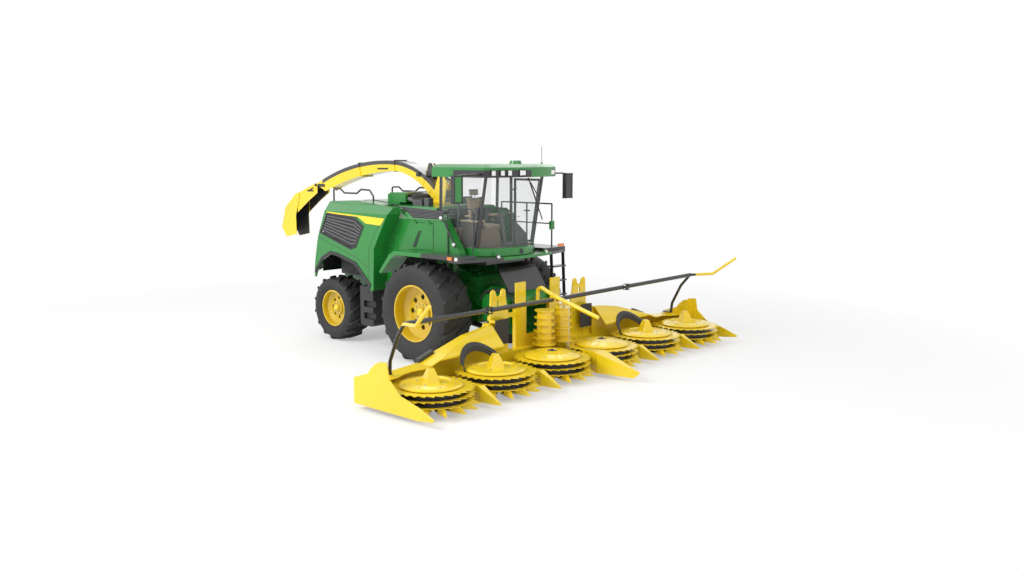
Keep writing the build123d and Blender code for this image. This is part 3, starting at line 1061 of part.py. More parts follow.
def cowl_form(profile, drop):
    """The wing cowl's form: a profile run along the wing, its top lowered by the drop."""
    with BuildPart() as form:
        plate(side(-WING_IN - 5), profile, 4430 - WING_IN)
        with BuildSketch(face(1900)):
            Polygon((-WING_IN, 370), *((y, z - drop) for y, z in COWL_TOP), (-4450, 370), align=None)
        extrude(amount=400, mode=Mode.INTERSECT)
    return form.part


with BuildPart() as cowl:
    add(cowl_form(COWL_BACK, 0))
    add(cowl_form(COWL_HOLLOW, COWL_WALL), mode=Mode.SUBTRACT)
    for share in (1.5, 2.5):
        y = -share * ROTOR_PITCH
        rod((ROTOR_X, y, 400), (ROTOR_X, y, 1100), COWL_ARCH_R, Mode.SUBTRACT)
with BuildPart() as wing_frame:
    block(BEAM_BACK_X, BEAM_FRONT_X, -WING_OUT, -WING_IN, BEAM_LOW_Z, BEAM_TOP_Z)
    block(BEAM_BACK_X + 10, BEAM_FRONT_X, -WING_OUT, -WING_IN, PAN_Z, BEAM_LOW_Z)
    for x in (BEAM_BACK_X + 20, BEAM_BACK_X + 140):
        with BuildSketch(face(x)):
            Polygon((-FOLD_Y - 50, BEAM_TOP_Z - 10), (-FOLD_Y - 380, BEAM_TOP_Z - 10),
                    (-FOLD_Y - 40, FOLD_Z + 50), (-FOLD_Y + 20, FOLD_Z + 62), (-FOLD_Y + 60, FOLD_Z),
                    (-FOLD_Y, FOLD_Z - 62), align=None)
        extrude(amount=20)
    rod((BEAM_BACK_X - 10, -FOLD_Y, FOLD_Z), (BEAM_FRONT_X + 10, -FOLD_Y, FOLD_Z),
        FOLD_PIN_R + PIN_GAP, Mode.SUBTRACT)
    add(cowl.part)
    for share in (1.5, 2.5):
        gearcase(-share * ROTOR_PITCH)
    divider(2990, 3620, -2 * ROTOR_PITCH, 62, 32, 340, 100, BEAM_FRONT_X - 5)
    with BuildSketch(side(-HEADER_HALF + END_THICK)):
        Polygon((BEAM_BACK_X, PAN_Z), (BEAM_BACK_X, 520), (2190, 660), (2400, 860), (2590, 880),
                (2640, 620), (2900, 400), (3300, 300), (3660, 165), (3640, 130), (3300, PAN_Z),
                align=None)
    extrude(amount=END_THICK)
    with BuildSketch(side(-HEADER_HALF + 90)):
        Polygon((2010, 190), (2030, 520), (2200, 730), (2330, 830), (2430, 830), (2450, 700), (2450, 190),
                align=None)
        fillet(vertices(), 50)
    extrude(amount=90)
    plate(side(BAR_FOOT_Y + 30), ((BEAM_FRONT_X - 60, 415), (BEAM_FRONT_X, 430), (2240, 500),
                                  (2240, ARM_FOOT_Z), (2100, ARM_FOOT_Z), (BEAM_FRONT_X - 60, 520)), 60)
pieces["wing_frame_right"] = wing_frame
pieces["wing_frame_left"] = mirrored(wing_frame)

# Push bar, outer part: the wing's arm and bar, with a fork for the inner part's pin
SLOPE_X = (BAR_OUT[0] - BAR_IN[0]) / BAR_OUT[1]
SLOPE_Z = (BAR_OUT[2] - BAR_IN[2]) / BAR_OUT[1]


def bar_point(y):
    """A point of the right-hand push bar's line, at a distance from the middle."""
    return (BAR_IN[0] + SLOPE_X * y, -y, BAR_IN[2] + SLOPE_Z * y)


HINGE_AT = bar_point(BAR_HINGE_Y)
BAR_PIN_X = HINGE_AT[0] + 58
with BuildPart() as push_bar:
    rod(bar_point(BAR_HINGE_Y + 76), (BAR_OUT[0], -BAR_OUT[1], BAR_OUT[2]), BAR_R)
    tube(((2190, BAR_FOOT_Y, ARM_FOOT_Z + 10), (2210, BAR_FOOT_Y - 10, 780),
          (2420, BAR_FOOT_Y - 30, 1200),
          (BAR_OUT[0], -BAR_OUT[1], BAR_OUT[2])), BAR_ARM_R, 150)
    rod((2190, BAR_FOOT_Y, ARM_FOOT_Z + SEAT_GAP), (2190, BAR_FOOT_Y, ARM_FOOT_Z + 25),
        BAR_ARM_R + 8)
    rod((BAR_OUT[0], -BAR_OUT[1], BAR_OUT[2]), BAR_KNEE, BAR_ARM_R)
    rod(BAR_KNEE, BAR_TIP, BAR_ARM_R)
    with Locations((AXLE_X + BAR_KNEE[0], BAR_KNEE[1], BAR_KNEE[2])):
        Sphere(BAR_ARM_R)
    for z in (HINGE_AT[2] - BAR_R - 20, HINGE_AT[2] + BAR_R + MOVE_GAP):
        block(HINGE_AT[0] - 30, BAR_PIN_X + 14, -BAR_HINGE_Y - 104, -BAR_HINGE_Y + 16, z, z + 12)
    block(HINGE_AT[0] - 30, HINGE_AT[0] + 30, -BAR_HINGE_Y - 104, -BAR_HINGE_Y - 78,
          HINGE_AT[2] - BAR_R - 20, HINGE_AT[2] + BAR_R + 20)
    rod((BAR_PIN_X, -BAR_HINGE_Y, HINGE_AT[2] - BAR_R - 22),
        (BAR_PIN_X, -BAR_HINGE_Y, HINGE_AT[2] + BAR_R + 22), BAR_PIN_R)
pieces["push_bar_right"] = push_bar
pieces["push_bar_left"] = mirrored(push_bar)

# Push bar, inner part: it swings back over the outer part when the wing folds
with BuildPart() as bar_inner:
    rod(bar_point(72), bar_point(BAR_HINGE_Y - 40), BAR_R)
    block(HINGE_AT[0] - 20, BAR_PIN_X + 14, -BAR_HINGE_Y - 15, -BAR_HINGE_Y + 60,
          HINGE_AT[2] - 22, HINGE_AT[2] + 22)
    rod((BAR_PIN_X, -BAR_HINGE_Y, HINGE_AT[2] - 60), (BAR_PIN_X, -BAR_HINGE_Y, HINGE_AT[2] + 60),
        BAR_PIN_R + PIN_GAP, Mode.SUBTRACT)
pieces["push_bar_inner_right"] = bar_inner
pieces["push_bar_inner_left"] = mirrored(bar_inner)

# Rubber flaps between the middle posts and the wings' cowls
with BuildPart() as rubber_flaps:
    for y in (-1430, 1070):
        block(FLAP_X + SEAT_GAP, FLAP_X + 12, y, y + 360, 600, 1070)
pieces["rubber_flaps"] = rubber_flaps

for node, piece in pieces.items():
    piece.part.label = node
    export_step(piece.part, f"parts/{node}.step")
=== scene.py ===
"""Dresses the forage harvester: paint, rubber, glass and the pieces that the solids leave out."""
import json
import math

import bmesh
import bpy
from mathutils import Matrix, Vector


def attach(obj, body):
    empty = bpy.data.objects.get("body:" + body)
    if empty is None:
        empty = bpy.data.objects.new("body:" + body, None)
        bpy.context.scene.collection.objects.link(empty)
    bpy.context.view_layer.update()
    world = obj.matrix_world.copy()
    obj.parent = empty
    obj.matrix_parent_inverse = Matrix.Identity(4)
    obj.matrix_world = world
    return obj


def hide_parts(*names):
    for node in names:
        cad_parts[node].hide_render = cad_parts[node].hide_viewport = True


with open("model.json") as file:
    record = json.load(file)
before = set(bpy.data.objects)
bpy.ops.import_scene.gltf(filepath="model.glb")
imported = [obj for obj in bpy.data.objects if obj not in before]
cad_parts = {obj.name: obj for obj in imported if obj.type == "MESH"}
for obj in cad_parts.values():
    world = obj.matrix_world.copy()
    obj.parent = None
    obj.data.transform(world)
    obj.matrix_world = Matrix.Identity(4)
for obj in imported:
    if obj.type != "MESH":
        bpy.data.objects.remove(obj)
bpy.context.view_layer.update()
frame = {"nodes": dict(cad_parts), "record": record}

bl_info = {
    "name": "Forage harvester",
    "version": (1, 0, 0),
    "blender": (4, 5, 0),
    "location": "3D View > Sidebar > Harvester",
    "description": "Builds the finishes and fittings of a forage harvester round its CAD frame",
    "category": "Add Mesh",
}

# Driving sizes in metres, x counted from the front axle
AXLE_X = 1.24
SIDES = (("right", -1), ("left", 1))
FULL_TURN = 2 * math.pi
ROTOR_X = 2.78
ROTOR_PITCH = 1.5
ROTORS = (("inner", 0.5 * ROTOR_PITCH), ("middle", 1.5 * ROTOR_PITCH), ("outer", 2.5 * ROTOR_PITCH))
HOOD_Y = 1.45
BODY_Y = 1.098
MAT_LOW, MAT_TOP = 2.281, 2.291


# Shader maths
class Value:
    """A shader socket that can be used in Python arithmetic."""

    def __init__(self, tree, socket):
        self.tree = tree
        self.socket = socket

    def maths(self, operation, *values):
        return self.tree.node("ShaderNodeMath", {"operation": operation}, dict(enumerate(values)))

    def __add__(self, other):
        return self.maths("ADD", self, other)

    def __sub__(self, other):
        return self.maths("SUBTRACT", self, other)

    def __rsub__(self, other):
        return self.maths("SUBTRACT", other, self)

    def __mul__(self, other):
        return self.maths("MULTIPLY", self, other)

    def __truediv__(self, other):
        return self.maths("DIVIDE", self, other)

    def __gt__(self, other):
        return self.maths("GREATER_THAN", self, other)

    def __lt__(self, other):
        return self.maths("LESS_THAN", self, other)

    def __abs__(self):
        return self.maths("ABSOLUTE", self)

    def least(self, other):
        return self.maths("MINIMUM", self, other)

    def most(self, other):
        return self.maths("MAXIMUM", self, other)

    def root(self):
        return self.maths("SQRT", self)

    def wave(self):
        return self.maths("SINE", self)

    def share(self):
        return self.maths("FRACT", self)


class Tree:
    """A node tree, and the one method that adds any node to it."""

    def __init__(self, tree):
        self.tree = tree

    def feed(self, socket, value):
        """Links a value to a socket, or sets the socket to a number or colour."""
        if isinstance(value, Value):
            self.tree.links.new(value.socket, socket)
        elif socket.type == "RGBA" and len(value) == 3:
            socket.default_value = (*value, 1.0)
        else:
            socket.default_value = value

    def node(self, kind, settings=None, values=None, output=0):
        made = self.tree.nodes.new(kind)
        for key, value in (settings or {}).items():
            setattr(made, key, value)
        for key, value in (values or {}).items():
            self.feed(made.inputs[key], value)
        return Value(self, made.outputs[output])

    def seen(self):
        """1 for what the camera sees directly, in a reflection or through glass."""
        rays = self.node("ShaderNodeLightPath").socket.node.outputs
        camera, glossy, through = (Value(self, rays[f"Is {kind} Ray"])
                                   for kind in ("Camera", "Glossy", "Transmission"))
        return camera.most(glossy).most(through)


class Paint(Tree):
    """One material and its Principled shader."""

    def __init__(self, name, colour=(0.5, 0.5, 0.5), rough=0.5, metal=0.0, **sockets):
        self.material = bpy.data.materials.new(name)
        self.material.use_nodes = True
        super().__init__(self.material.node_tree)
        self.shader = self.tree.nodes["Principled BSDF"]
        self.place = None
        self.set("Base Color", colour)
        self.set("Roughness", rough)
        self.set("Metallic", metal)
        for key, value in sockets.items():
            self.set(key.replace("_", " "), value)

    def set(self, key, value):
        self.feed(self.shader.inputs[key], value)

    def point(self):
        """Object coordinates."""
        if self.place is None:
            self.place = self.node("ShaderNodeTexCoord", output=3)
        return self.place

    def axes(self):
        """The three Object coordinates as numbers."""
        split = self.node("ShaderNodeSeparateXYZ", None, {0: self.point()})
        return [Value(self, s) for s in split.socket.node.outputs]

    def noise(self, scale, detail=2.0, stretch=None):
        vector = self.point()
        if stretch:
            vector = self.node("ShaderNodeMapping", None, {"Vector": vector, "Scale": stretch})
        return self.node("ShaderNodeTexNoise", None, {"Vector": vector, "Scale": scale, "Detail": detail})

    def mix(self, factor, first, second):
        return self.node("ShaderNodeMix", {"data_type": "RGBA"}, {0: factor, 6: first, 7: second}, 2)

    def tones(self, patches, low, high):
        """Lets the base colour drift between two tones."""
        self.set("Base Color", self.mix(patches, low, high))

    def bump(self, height, distance, strength):
        normal = self.node("ShaderNodeBump", None,
                           {"Height": height, "Distance": distance, "Strength": strength})
        self.set("Normal", normal)


def shade(colour, share):
    """A colour made lighter or darker by a share."""
    return tuple(c * share for c in colour)


def swatch(name, description, default):
    """A colour that a user may change."""
    return bpy.props.FloatVectorProperty(name=name, description=description, default=default,
                                         subtype="COLOR", min=0.0, max=1.0)


class HarvesterColours(bpy.types.PropertyGroup):
    """The colours of the machine"""
    green: swatch("Green", "Body panels and cab roof", (0.012, 0.205, 0.028))
    yellow: swatch("Yellow", "Header, rotors and spout", (0.86, 0.62, 0.012))
    # Painted shade: the rims' colour is the yellow darkened, standing for the shade that the rims lie in
    rim: swatch("Rims", "Wheel rims", (0.62, 0.42, 0.008))
    dark: swatch("Dark plastic", "Trims, console and platform", (0.03, 0.03, 0.032))
    # Black is also painted shade: the hood's insides, the hump's recess and the frame under the rotors are
    # painted with it
    black: swatch("Black", "Steel bars and dark insides", (0.012, 0.012, 0.013))
    grey: swatch("Grey plastic", "Slats and pipes", (0.11, 0.11, 0.118))
    # This colour also paints shade: the rotor drums between the toothed discs get it as painted shade
    liner: swatch("Liner", "Spout liner and rotor drums", (0.05, 0.048, 0.047))
    tan: swatch("Seat", "Seat cloth and padded cab trim", (0.42, 0.3, 0.19))
    carpet: swatch("Carpet", "Floor mat and kick panel", (0.13, 0.095, 0.065))


# Finishes that several pieces share
def sprayed(name, colour, rough=0.28):
    """Sprayed and lacquered sheet metal with a faint orange peel."""
    paint = Paint(name, colour, rough, Coat_Weight=0.5, Coat_Roughness=0.08)
    paint.tones(paint.noise(1.7, 3.0), shade(colour, 0.9), shade(colour, 1.1))
    paint.set("Roughness", paint.noise(9.0, 3.0) * 0.12 + (rough - 0.06))
    paint.bump(paint.noise(420.0, 2.0), 0.0006, 0.25)
    return paint


def parted(name, colour, other, where):
    """A sprayed finish with a second colour where a mask of the place says so."""
    paint = sprayed(name, colour, 0.3)
    first = Value(paint, paint.shader.inputs["Base Color"].links[0].from_socket)
    second = paint.mix(paint.noise(1.7, 3.0), shade(other, 0.9), shade(other, 1.1))
    x, y, z = paint.axes()
    paint.tones(where(x - AXLE_X, y, z), first, second)
    return paint


def moulded(name, colour):
    """Grained moulded plastic."""
    paint = Paint(name, colour, 0.55)
    paint.tones(paint.noise(3.0), shade(colour, 0.85), shade(colour, 1.2))
    paint.set("Roughness", paint.noise(30.0, 4.0) * 0.2 + 0.45)
    paint.bump(paint.noise(900.0, 3.0), 0.0008, 0.5)
    return paint


# Finishes of one kind of piece
def ram_chrome(name):
    """Polished rods with fine marks along them."""
    paint = Paint(name, (0.72, 0.73, 0.74), 0.12, 1.0)
    paint.set("Roughness", paint.noise(60.0, 2.0, (1, 12, 1)) * 0.1 + 0.06)
    return paint


def engine_metal(name):
    """Rough cast metal."""
    paint = Paint(name, (0.12, 0.12, 0.125), 0.6, 0.6)
    paint.bump(paint.noise(140.0, 6.0), 0.002, 0.5)
    paint.tones(paint.noise(6.0), (0.09, 0.09, 0.095), (0.16, 0.16, 0.165))
    return paint


def tyre_rubber(name):
    """Dull rubber in uneven greys."""
    paint = Paint(name, (0.022, 0.022, 0.023), 0.72)
    paint.tones(paint.noise(7.0, 5.0), (0.016, 0.016, 0.017), (0.034, 0.034, 0.035))
    paint.bump(paint.noise(260.0, 5.0), 0.002, 0.45)
    return paint


def flap_rubber(name):
    """Smoother rubber of flaps and hoses."""
    paint = Paint(name, (0.025, 0.025, 0.026), 0.6)
    paint.bump(paint.noise(180.0, 4.0), 0.002, 0.4)
    return paint


def tinted_glass(name):
    """Clear cab glass with a faint tint."""
    paint = Paint(name, (0.42, 0.5, 0.5), 0.03, Alpha=0.08)
    paint.set("Roughness", paint.noise(3.0, 3.0) * 0.03 + 0.015)
    paint.set("Specular IOR Level", 0.2)
    return paint


def lamp_glass(name):
    """Ribbed lamps: amber at the cab's foot, else clear."""
    paint = Paint(name, (0.85, 0.86, 0.84), 0.12, Coat_Weight=0.8)
    x, y, z = paint.axes()
    paint.tones((x < 2.27) * (z < 2.3), (0.85, 0.86, 0.84), (0.8, 0.2, 0.01))
    paint.bump(((y + z) * 700.0).wave(), 0.001, 0.5)
    return paint


def seat_cloth(name, colour):
    """Woven cloth."""
    paint = Paint(name, colour, 0.85, Sheen_Weight=0.3)
    x, y, z = paint.axes()
    paint.tones(paint.noise(40.0, 4.0), shade(colour, 0.8), shade(colour, 1.15))
    paint.bump(((x + z) * 2200.0).wave() * ((y - z) * 2200.0).wave(), 0.0012, 0.6)
    return paint


def mirror_glass(name):
    """Silvered glass."""
    paint = Paint(name, (0.75, 0.78, 0.8), 0.04, 1.0)
    paint.set("Roughness", paint.noise(4.0, 2.0) * 0.05 + 0.02)
    return paint


def bolt_zinc(name):
    """Mottled zinc plating."""
    paint = Paint(name, (0.5, 0.5, 0.48), 0.35, 0.9)
    paint.tones(paint.noise(90.0, 3.0), (0.38, 0.38, 0.36), (0.6, 0.6, 0.58))
    paint.bump(paint.noise(500.0, 2.0), 0.0005, 0.4)
    return paint


def clear_lens(name):
    """A clear lens with crossed ribs."""
    paint = Paint(name, (0.86, 0.87, 0.88), 0.08, Coat_Weight=0.9)
    _, y, z = paint.axes()
    paint.bump((y * 500.0).wave() + (z * 500.0).wave(), 0.001, 0.6)
    return paint


def amber_lens(name):
    """An amber lens with level ribs."""
    paint = Paint(name, (0.85, 0.22, 0.01), 0.12, Coat_Weight=0.9)
    paint.bump((paint.axes()[2] * 600.0).wave(), 0.001, 0.6)
    return paint


def cab_mat(name, colour):
    """Short carpet."""
    paint = Paint(name, colour, 0.9)
    paint.tones(paint.noise(30.0, 5.0), shade(colour, 0.8), shade(colour, 1.2))
    paint.bump(paint.noise(700.0, 3.0), 0.002, 0.7)
    return paint


# Masks: where a node has its second colour
def circle_through(a, b, c):
    """Centre and radius of the circle through three points of the side view."""
    (ax, az), (bx, bz), (cx, cz) = a, b, c
    turn = 2 * (ax * (bz - cz) + bx * (cz - az) + cx * (az - bz))
    sa, sb, sc = ax * ax + az * az, bx * bx + bz * bz, cx * cx + cz * cz
    x = (sa * (bz - cz) + sb * (cz - az) + sc * (az - bz)) / turn
    z = (sa * (cx - bx) + sb * (ax - cx) + sc * (bx - ax)) / turn
    return x, z, math.hypot(ax - x, az - z)


BOOM_TOP = ((-0.99, 3.45), (-1.47, 3.75), (-2.27, 3.955), (-3.53, 3.89), (-5.2, 3.39))
BAND_DEPTH, BAND_END_X = 0.085, -4.95


def near_boom_top(x, y, z):
    """The dark band of lining along the spout's top edge."""
    bands = []
    for arc in (BOOM_TOP[:3], BOOM_TOP[2:]):
        cx, cz, r = circle_through(*arc)
        away = ((x - cx) * (x - cx) + (z - cz) * (z - cz)).root()
        bands.append(away > r - BAND_DEPTH)
    rear = x < BOOM_TOP[2][0]
    return (bands[1] * rear + bands[0] * (1 - rear)) * (x > BAND_END_X)


def from_rotor(x, y):
    """Distance from the nearest rotor's axis."""
    across = (abs(y) / ROTOR_PITCH).share() * ROTOR_PITCH - ROTOR_PITCH / 2
    return ((x - ROTOR_X) * (x - ROTOR_X) + across * across).root()


def under_rotors(x, y, z):
    """Painted shade: black on the frame under the rotors, where their shade falls."""
    return (from_rotor(x, y) < 0.44) * (z < 0.192)


def between_discs(x, y, z):
    """Painted shade: the drum between a rotor's toothed discs, dark as the shade under the top disc."""
    return (from_rotor(x, y) < 0.6) * (z < 0.39)


# Inner skin of the hood's tail, from the top down: height, lean and x of each part
TAIL = ((2.4, 0.475, -3.35), (1.73, 0.24, -3.53), (1.21, 0.115, -3.59))
TAIL_SWEEP = 0.932
# Rear corners in the plan view, from the side inwards: x, slope and half width of each part
TAIL_CORNER = ((-3.4, 0.34, 1.4), (-3.87, 1.86, 1.25))
HOOD_WALL = 0.034


def inside_hood(x, y, z):
    """Painted shade: the rear hood's inner faces, black as the shade in the wheel well."""
    swept = x + ((HOOD_Y - abs(y)) * TAIL_SWEEP - 0.02)
    upper, middle, lower = (swept > (z - height) * lean + at for height, lean, at in TAIL)
    side, end = (abs(y) - (x - at) * slope < half for at, slope, half in TAIL_CORNER)
    return (upper * middle * lower * side * end * (abs(y) < HOOD_Y - HOOD_WALL)
            * (x > -4.19) * (x < -1.6) * (z < 2.72))


def fenders_and_sill(x, y, z):
    """The green parts of the platform: its fenders and the sill before the cab."""
    fender = (x < 0.1) * (z > 1.6) * (abs(y) > 1.0)
    return fender.most((x > 1.2) * (y > -0.55) * (y < 0.95) * (z > 2.0))


def feeder_apron(x, y, z):
    """The dark face that leans back over the feeder house."""
    return ((x - 1.52) * 0.824 + (z - 1.43) * 0.567 > -0.02) * (z > 1.44)


def hump_opening(x, y, z):
    """Painted shade: black in the recess in the top of the engine hump."""
    return (abs(y) < 0.525) * (z > 3.2) * (z < 3.285) * (x > -1.99)


def finish_table(hue):
    """Each finish: its maker, and what the maker needs beside the name."""
    table = {
        "green_paint": (sprayed, hue.green),
        "yellow_paint": (sprayed, hue.yellow),
        # Painted shade: the rims get a darkened copy of the yellow, as the shade they lie in
        "rim_paint": (sprayed, hue.rim, 0.3),
        "black_steel": (sprayed, hue.black, 0.38),
        "dark_plastic": (moulded, hue.dark),
        "grey_plastic": (moulded, hue.grey),
        "tan_plastic": (moulded, hue.tan),
        "seat_cloth": (seat_cloth, hue.tan),
        "cab_mat": (cab_mat, hue.carpet),
        "console_paint": (parted, hue.dark, hue.carpet, lambda x, y, z: (x < 0.62) * (y < -0.3)),
        "door_paint": (parted, hue.black, hue.green, lambda x, y, z: z < 2.3),
        "platform_paint": (parted, hue.dark, hue.green, fenders_and_sill),
        "cab_frame_paint": (parted, hue.dark, hue.green, lambda x, y, z: (z < 2.284) * (x > 0.42)),
        # The apron is black, and its black is darkened to six tenths more as painted shade
        "feeder_paint": (parted, hue.green, shade(hue.black, 0.6), feeder_apron),
        "roof_paint": (parted, hue.green, hue.black,
                       lambda x, y, z: (z < 3.79) * (y < 0.12) * (x > 0.42)),
        "mirror_paint": (parted, hue.black, hue.green,
                         lambda x, y, z: (x > 1.2) * (y < -1.53) * (z > 3.2)),
        "boom_paint": (parted, hue.yellow, hue.liner, near_boom_top),
        # Painted shade: black on the hood's inner faces, in the wheel well
        "hood_paint": (parted, hue.green, hue.black, inside_hood),
        # Painted shade: black in the recess of the engine hump
        "engine_top_paint": (parted, hue.green, hue.black, hump_opening),
        # Painted shade: black on the header's and the wings' frame under each rotor
        "header_paint": (parted, hue.yellow, hue.black, under_rotors),
        "wing_paint": (parted, hue.yellow, hue.black, under_rotors),
        "push_bar_paint": (parted, hue.black, hue.yellow,
                           lambda x, y, z: (abs(y) > 4.18) * (z > 1.42)),
        # Painted shade: the drum between each rotor's discs is dark, as the shade under its top disc
        "rotor_paint": (parted, hue.yellow, hue.liner, between_discs),
    }
    for make in (ram_chrome, engine_metal, tyre_rubber, flap_rubber, tinted_glass, lamp_glass,
                 mirror_glass, bolt_zinc, clear_lens, amber_lens):
        table[make.__name__] = (make,)
    return table


# Nodes whose finish isn't their slot's
NODE_FINISH = {
    "cab_console": "console_paint", "cab_door": "door_paint", "platform": "platform_paint",
    "cab_frame": "cab_frame_paint", "feeder_house": "feeder_paint", "cab_roof": "roof_paint",
    "mirrors": "mirror_paint", "spout_boom": "boom_paint", "rear_hood": "hood_paint",
    "engine_top": "engine_top_paint", "header_frame": "header_paint",
}
for side, _ in SIDES:
    NODE_FINISH[f"wing_frame_{side}"] = "wing_paint"
    NODE_FINISH[f"push_bar_{side}"] = "push_bar_paint"
    NODE_FINISH.update({f"rim_{end}_{side}": "rim_paint" for end in ("front", "rear")})
    NODE_FINISH.update({f"rotor_{place}_{side}": "rotor_paint" for place, _ in ROTORS})

MATERIALS = {}


class HARVESTER_OT_finishes(bpy.types.Operator):
    """Gives every CAD node its procedural finish"""
    bl_idname = "harvester.finishes"
    bl_label = "Finishes"

    def execute(self, context):
        for name, (make, *details) in finish_table(context.scene.harvester_colours).items():
            MATERIALS[name] = make(name, *details).material
        for row in frame["record"]["subparts"]:
            mesh = frame["nodes"][row["node"]].data
            mesh.materials.clear()
            mesh.materials.append(MATERIALS[NODE_FINISH.get(row["node"], row["material_slot"])])
        return {"FINISHED"}


# Mesh helpers
def spot(x, y, z):
    """A point of the row frame from one counted from the front axle."""
    return Vector((x + AXLE_X, y, z))


def slab(form, x0, x1, y0, y1, z0, z1):
    """A box between two corners."""
    made = bmesh.ops.create_cube(form, size=1.0)["verts"]
    middle = spot((x0 + x1) / 2, (y0 + y1) / 2, (z0 + z1) / 2)
    size = Matrix.Diagonal((abs(x1 - x0), abs(y1 - y0), abs(z1 - z0), 1.0))
    bmesh.ops.transform(form, matrix=Matrix.Translation(middle) @ size, verts=made)


def stick(form, start, end, r, r_end=None, steps=16):
    """A round bar, or a cone, between two points."""
    low, high = spot(*start), spot(*end)
    turn = (high - low).to_track_quat("Z", "Y").to_matrix().to_4x4()
    bmesh.ops.create_cone(form, cap_ends=True, segments=steps, radius1=r,
                          radius2=r if r_end is None else r_end, depth=(high - low).length,
                          matrix=Matrix.Translation((low + high) / 2) @ turn)


def thicken(form, faces, along):
    """Makes faces into a plate that reaches along a vector."""
    grown = bmesh.ops.extrude_face_region(form, geom=faces)["geom"]
    moved = [v for v in grown if isinstance(v, bmesh.types.BMVert)]
    bmesh.ops.translate(form, vec=Vector(along), verts=moved)


def sheet(form, points, along):
    """A flat plate: its outline, made thick along a vector."""
    thicken(form, [form.faces.new([form.verts.new(spot(*p)) for p in points])], along)


def ribbon(form, pairs, along):
    """A band between pairs of opposite edge points, made thick along a vector."""
    rows = [[form.verts.new(place) for place in pair] for pair in pairs]
    faces = [form.faces.new((a[0], b[0], b[1], a[1])) for a, b in zip(rows, rows[1:])]
    thicken(form, faces, along)


def strip(form, points, width, out, thick):
    """A flat band of even width along a route; out is the way its thickness grows."""
    out = Vector(out).normalized()
    places = [spot(*p) for p in points]
    pairs = []
    for k, place in enumerate(places):
        last = (places[min(k + 1, len(places) - 1)] - places[min(k, len(places) - 2)]).normalized()
        first = (place - places[k - 1]).normalized() if k else last
        across = (first + last).normalized().cross(out) * (width / 2 / max(first.dot(last), 0.5) ** 0.5)
        pairs.append((place - across, place + across))
    ribbon(form, pairs, out * thick)


def knob(form, place, r, out, tall, steps=12):
    """A round boss with a bevelled rim, standing out from a place."""
    start = Vector(place)
    rise = Vector(out).normalized() * tall
    stick(form, start, start + rise, r, r, steps)
    stick(form, start + rise, start + rise * 1.25, r, r * 0.75, steps)


def bolt_ring(form, centre, ring, count, r, out, tall, first=0.0):
    """Six-sided bolt heads in a ring that faces along Y or Z; first turns it, as a share of a step."""
    x, y, z = centre
    for k in range(count):
        turn = FULL_TURN * (k + first) / count
        u, w = ring * math.cos(turn), ring * math.sin(turn)
        knob(form, (x + u, y + w, z) if out[2] else (x + u, y, z + w), r, out, tall, 6)


def turned(form, profile, centre, axis, steps=48):
    """A solid of revolution: (distance along the axis, radius) pairs turned round the axis."""
    axis = Vector(axis)
    out = axis.orthogonal().normalized()
    verts = [form.verts.new(spot(*centre) + axis * a + out * r) for a, r in profile]
    edges = [form.edges.new(pair) for pair in zip(verts, verts[1:])]
    bmesh.ops.spin(form, geom=verts + edges, cent=spot(*centre), axis=axis, dvec=(0, 0, 0),
                   angle=FULL_TURN, steps=steps, use_merge=True)


def flank(hand, y, line):
    """A line of the side view, at a distance from the machine's middle plane."""
    return [(x, hand * y, z) for x, z in line]


def settle(made, body, slot, finish):
    """Paints a new piece and hands it to its body."""
    made.data.materials.append(MATERIALS[finish or slot])
    made.data.shade_smooth()
    bpy.context.scene.collection.objects.link(made)
    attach(made, body)


def piece(name, form, body, slot, finish=None, bevel=0.0, steps=2, angle=40.0):
    """Turns a form into a piece that rides on a body."""
    bmesh.ops.remove_doubles(form, verts=form.verts, dist=1e-5)
    bmesh.ops.recalc_face_normals(form, faces=form.faces)
    mesh = bpy.data.meshes.new(name)
    form.to_mesh(mesh)
    form.free()
    made = bpy.data.objects.new(name, mesh)
    settle(made, body, slot, finish)
    mesh.set_sharp_from_angle(angle=math.radians(angle))
    if bevel:
        edge = made.modifiers.new("edge", "BEVEL")
        edge.width = bevel
        edge.segments = steps
        edge.limit_method = "ANGLE"
        edge.angle_limit = math.radians(angle)
        edge.harden_normals = True
    return made


def pipe(name, points, r, body, slot, finish=None):
    """A bent tube along a smooth route, as a mesh."""
    line = bpy.data.curves.new(name + "_line", "CURVE")
    line.dimensions = "3D"
    run = line.splines.new("NURBS")
    run.points.add(len(points) - 1)
    for knot, point in zip(run.points, points):
        knot.co = (*spot(*point), 1.0)
    run.order_u = 3
    run.use_endpoint_u = True
    run.resolution_u = 6
    line.bevel_depth = r
    line.bevel_resolution = 3
    line.use_fill_caps = True
    route = bpy.data.objects.new(name + "_route", line)
    bpy.context.scene.collection.objects.link(route)
    mesh = bpy.data.meshes.new_from_object(route.evaluated_get(bpy.context.evaluated_depsgraph_get()))
    bpy.data.objects.remove(route)
    bpy.data.curves.remove(line)
    mesh.name = name
    mesh.materials.clear()
    settle(bpy.data.objects.new(name, mesh), body, slot, finish)


# Wheels
WHEELS = (
    # word, x, middle y, radius, tyre width, rim radius, lugs in a row, bolt ring radius, bolts
    ("front", 0.0, 1.34, 1.0, 0.8, 0.565, 17, 0.165, 10),
    ("rear", -3.115, 1.05, 0.72, 0.6, 0.404, 15, 0.118, 8),
)
# Lugs: height, depth in the tread, bend as a share of their reach, widths as shares of the radius
LUG_TALL = 0.045
LUG_ROOT = 0.03
LUG_BEND = 0.62
LUG_TOP, LUG_FOOT = 0.05, 0.072
LUG_CUTS = (-0.3, -0.1, 0.1, 0.3, 0.42)


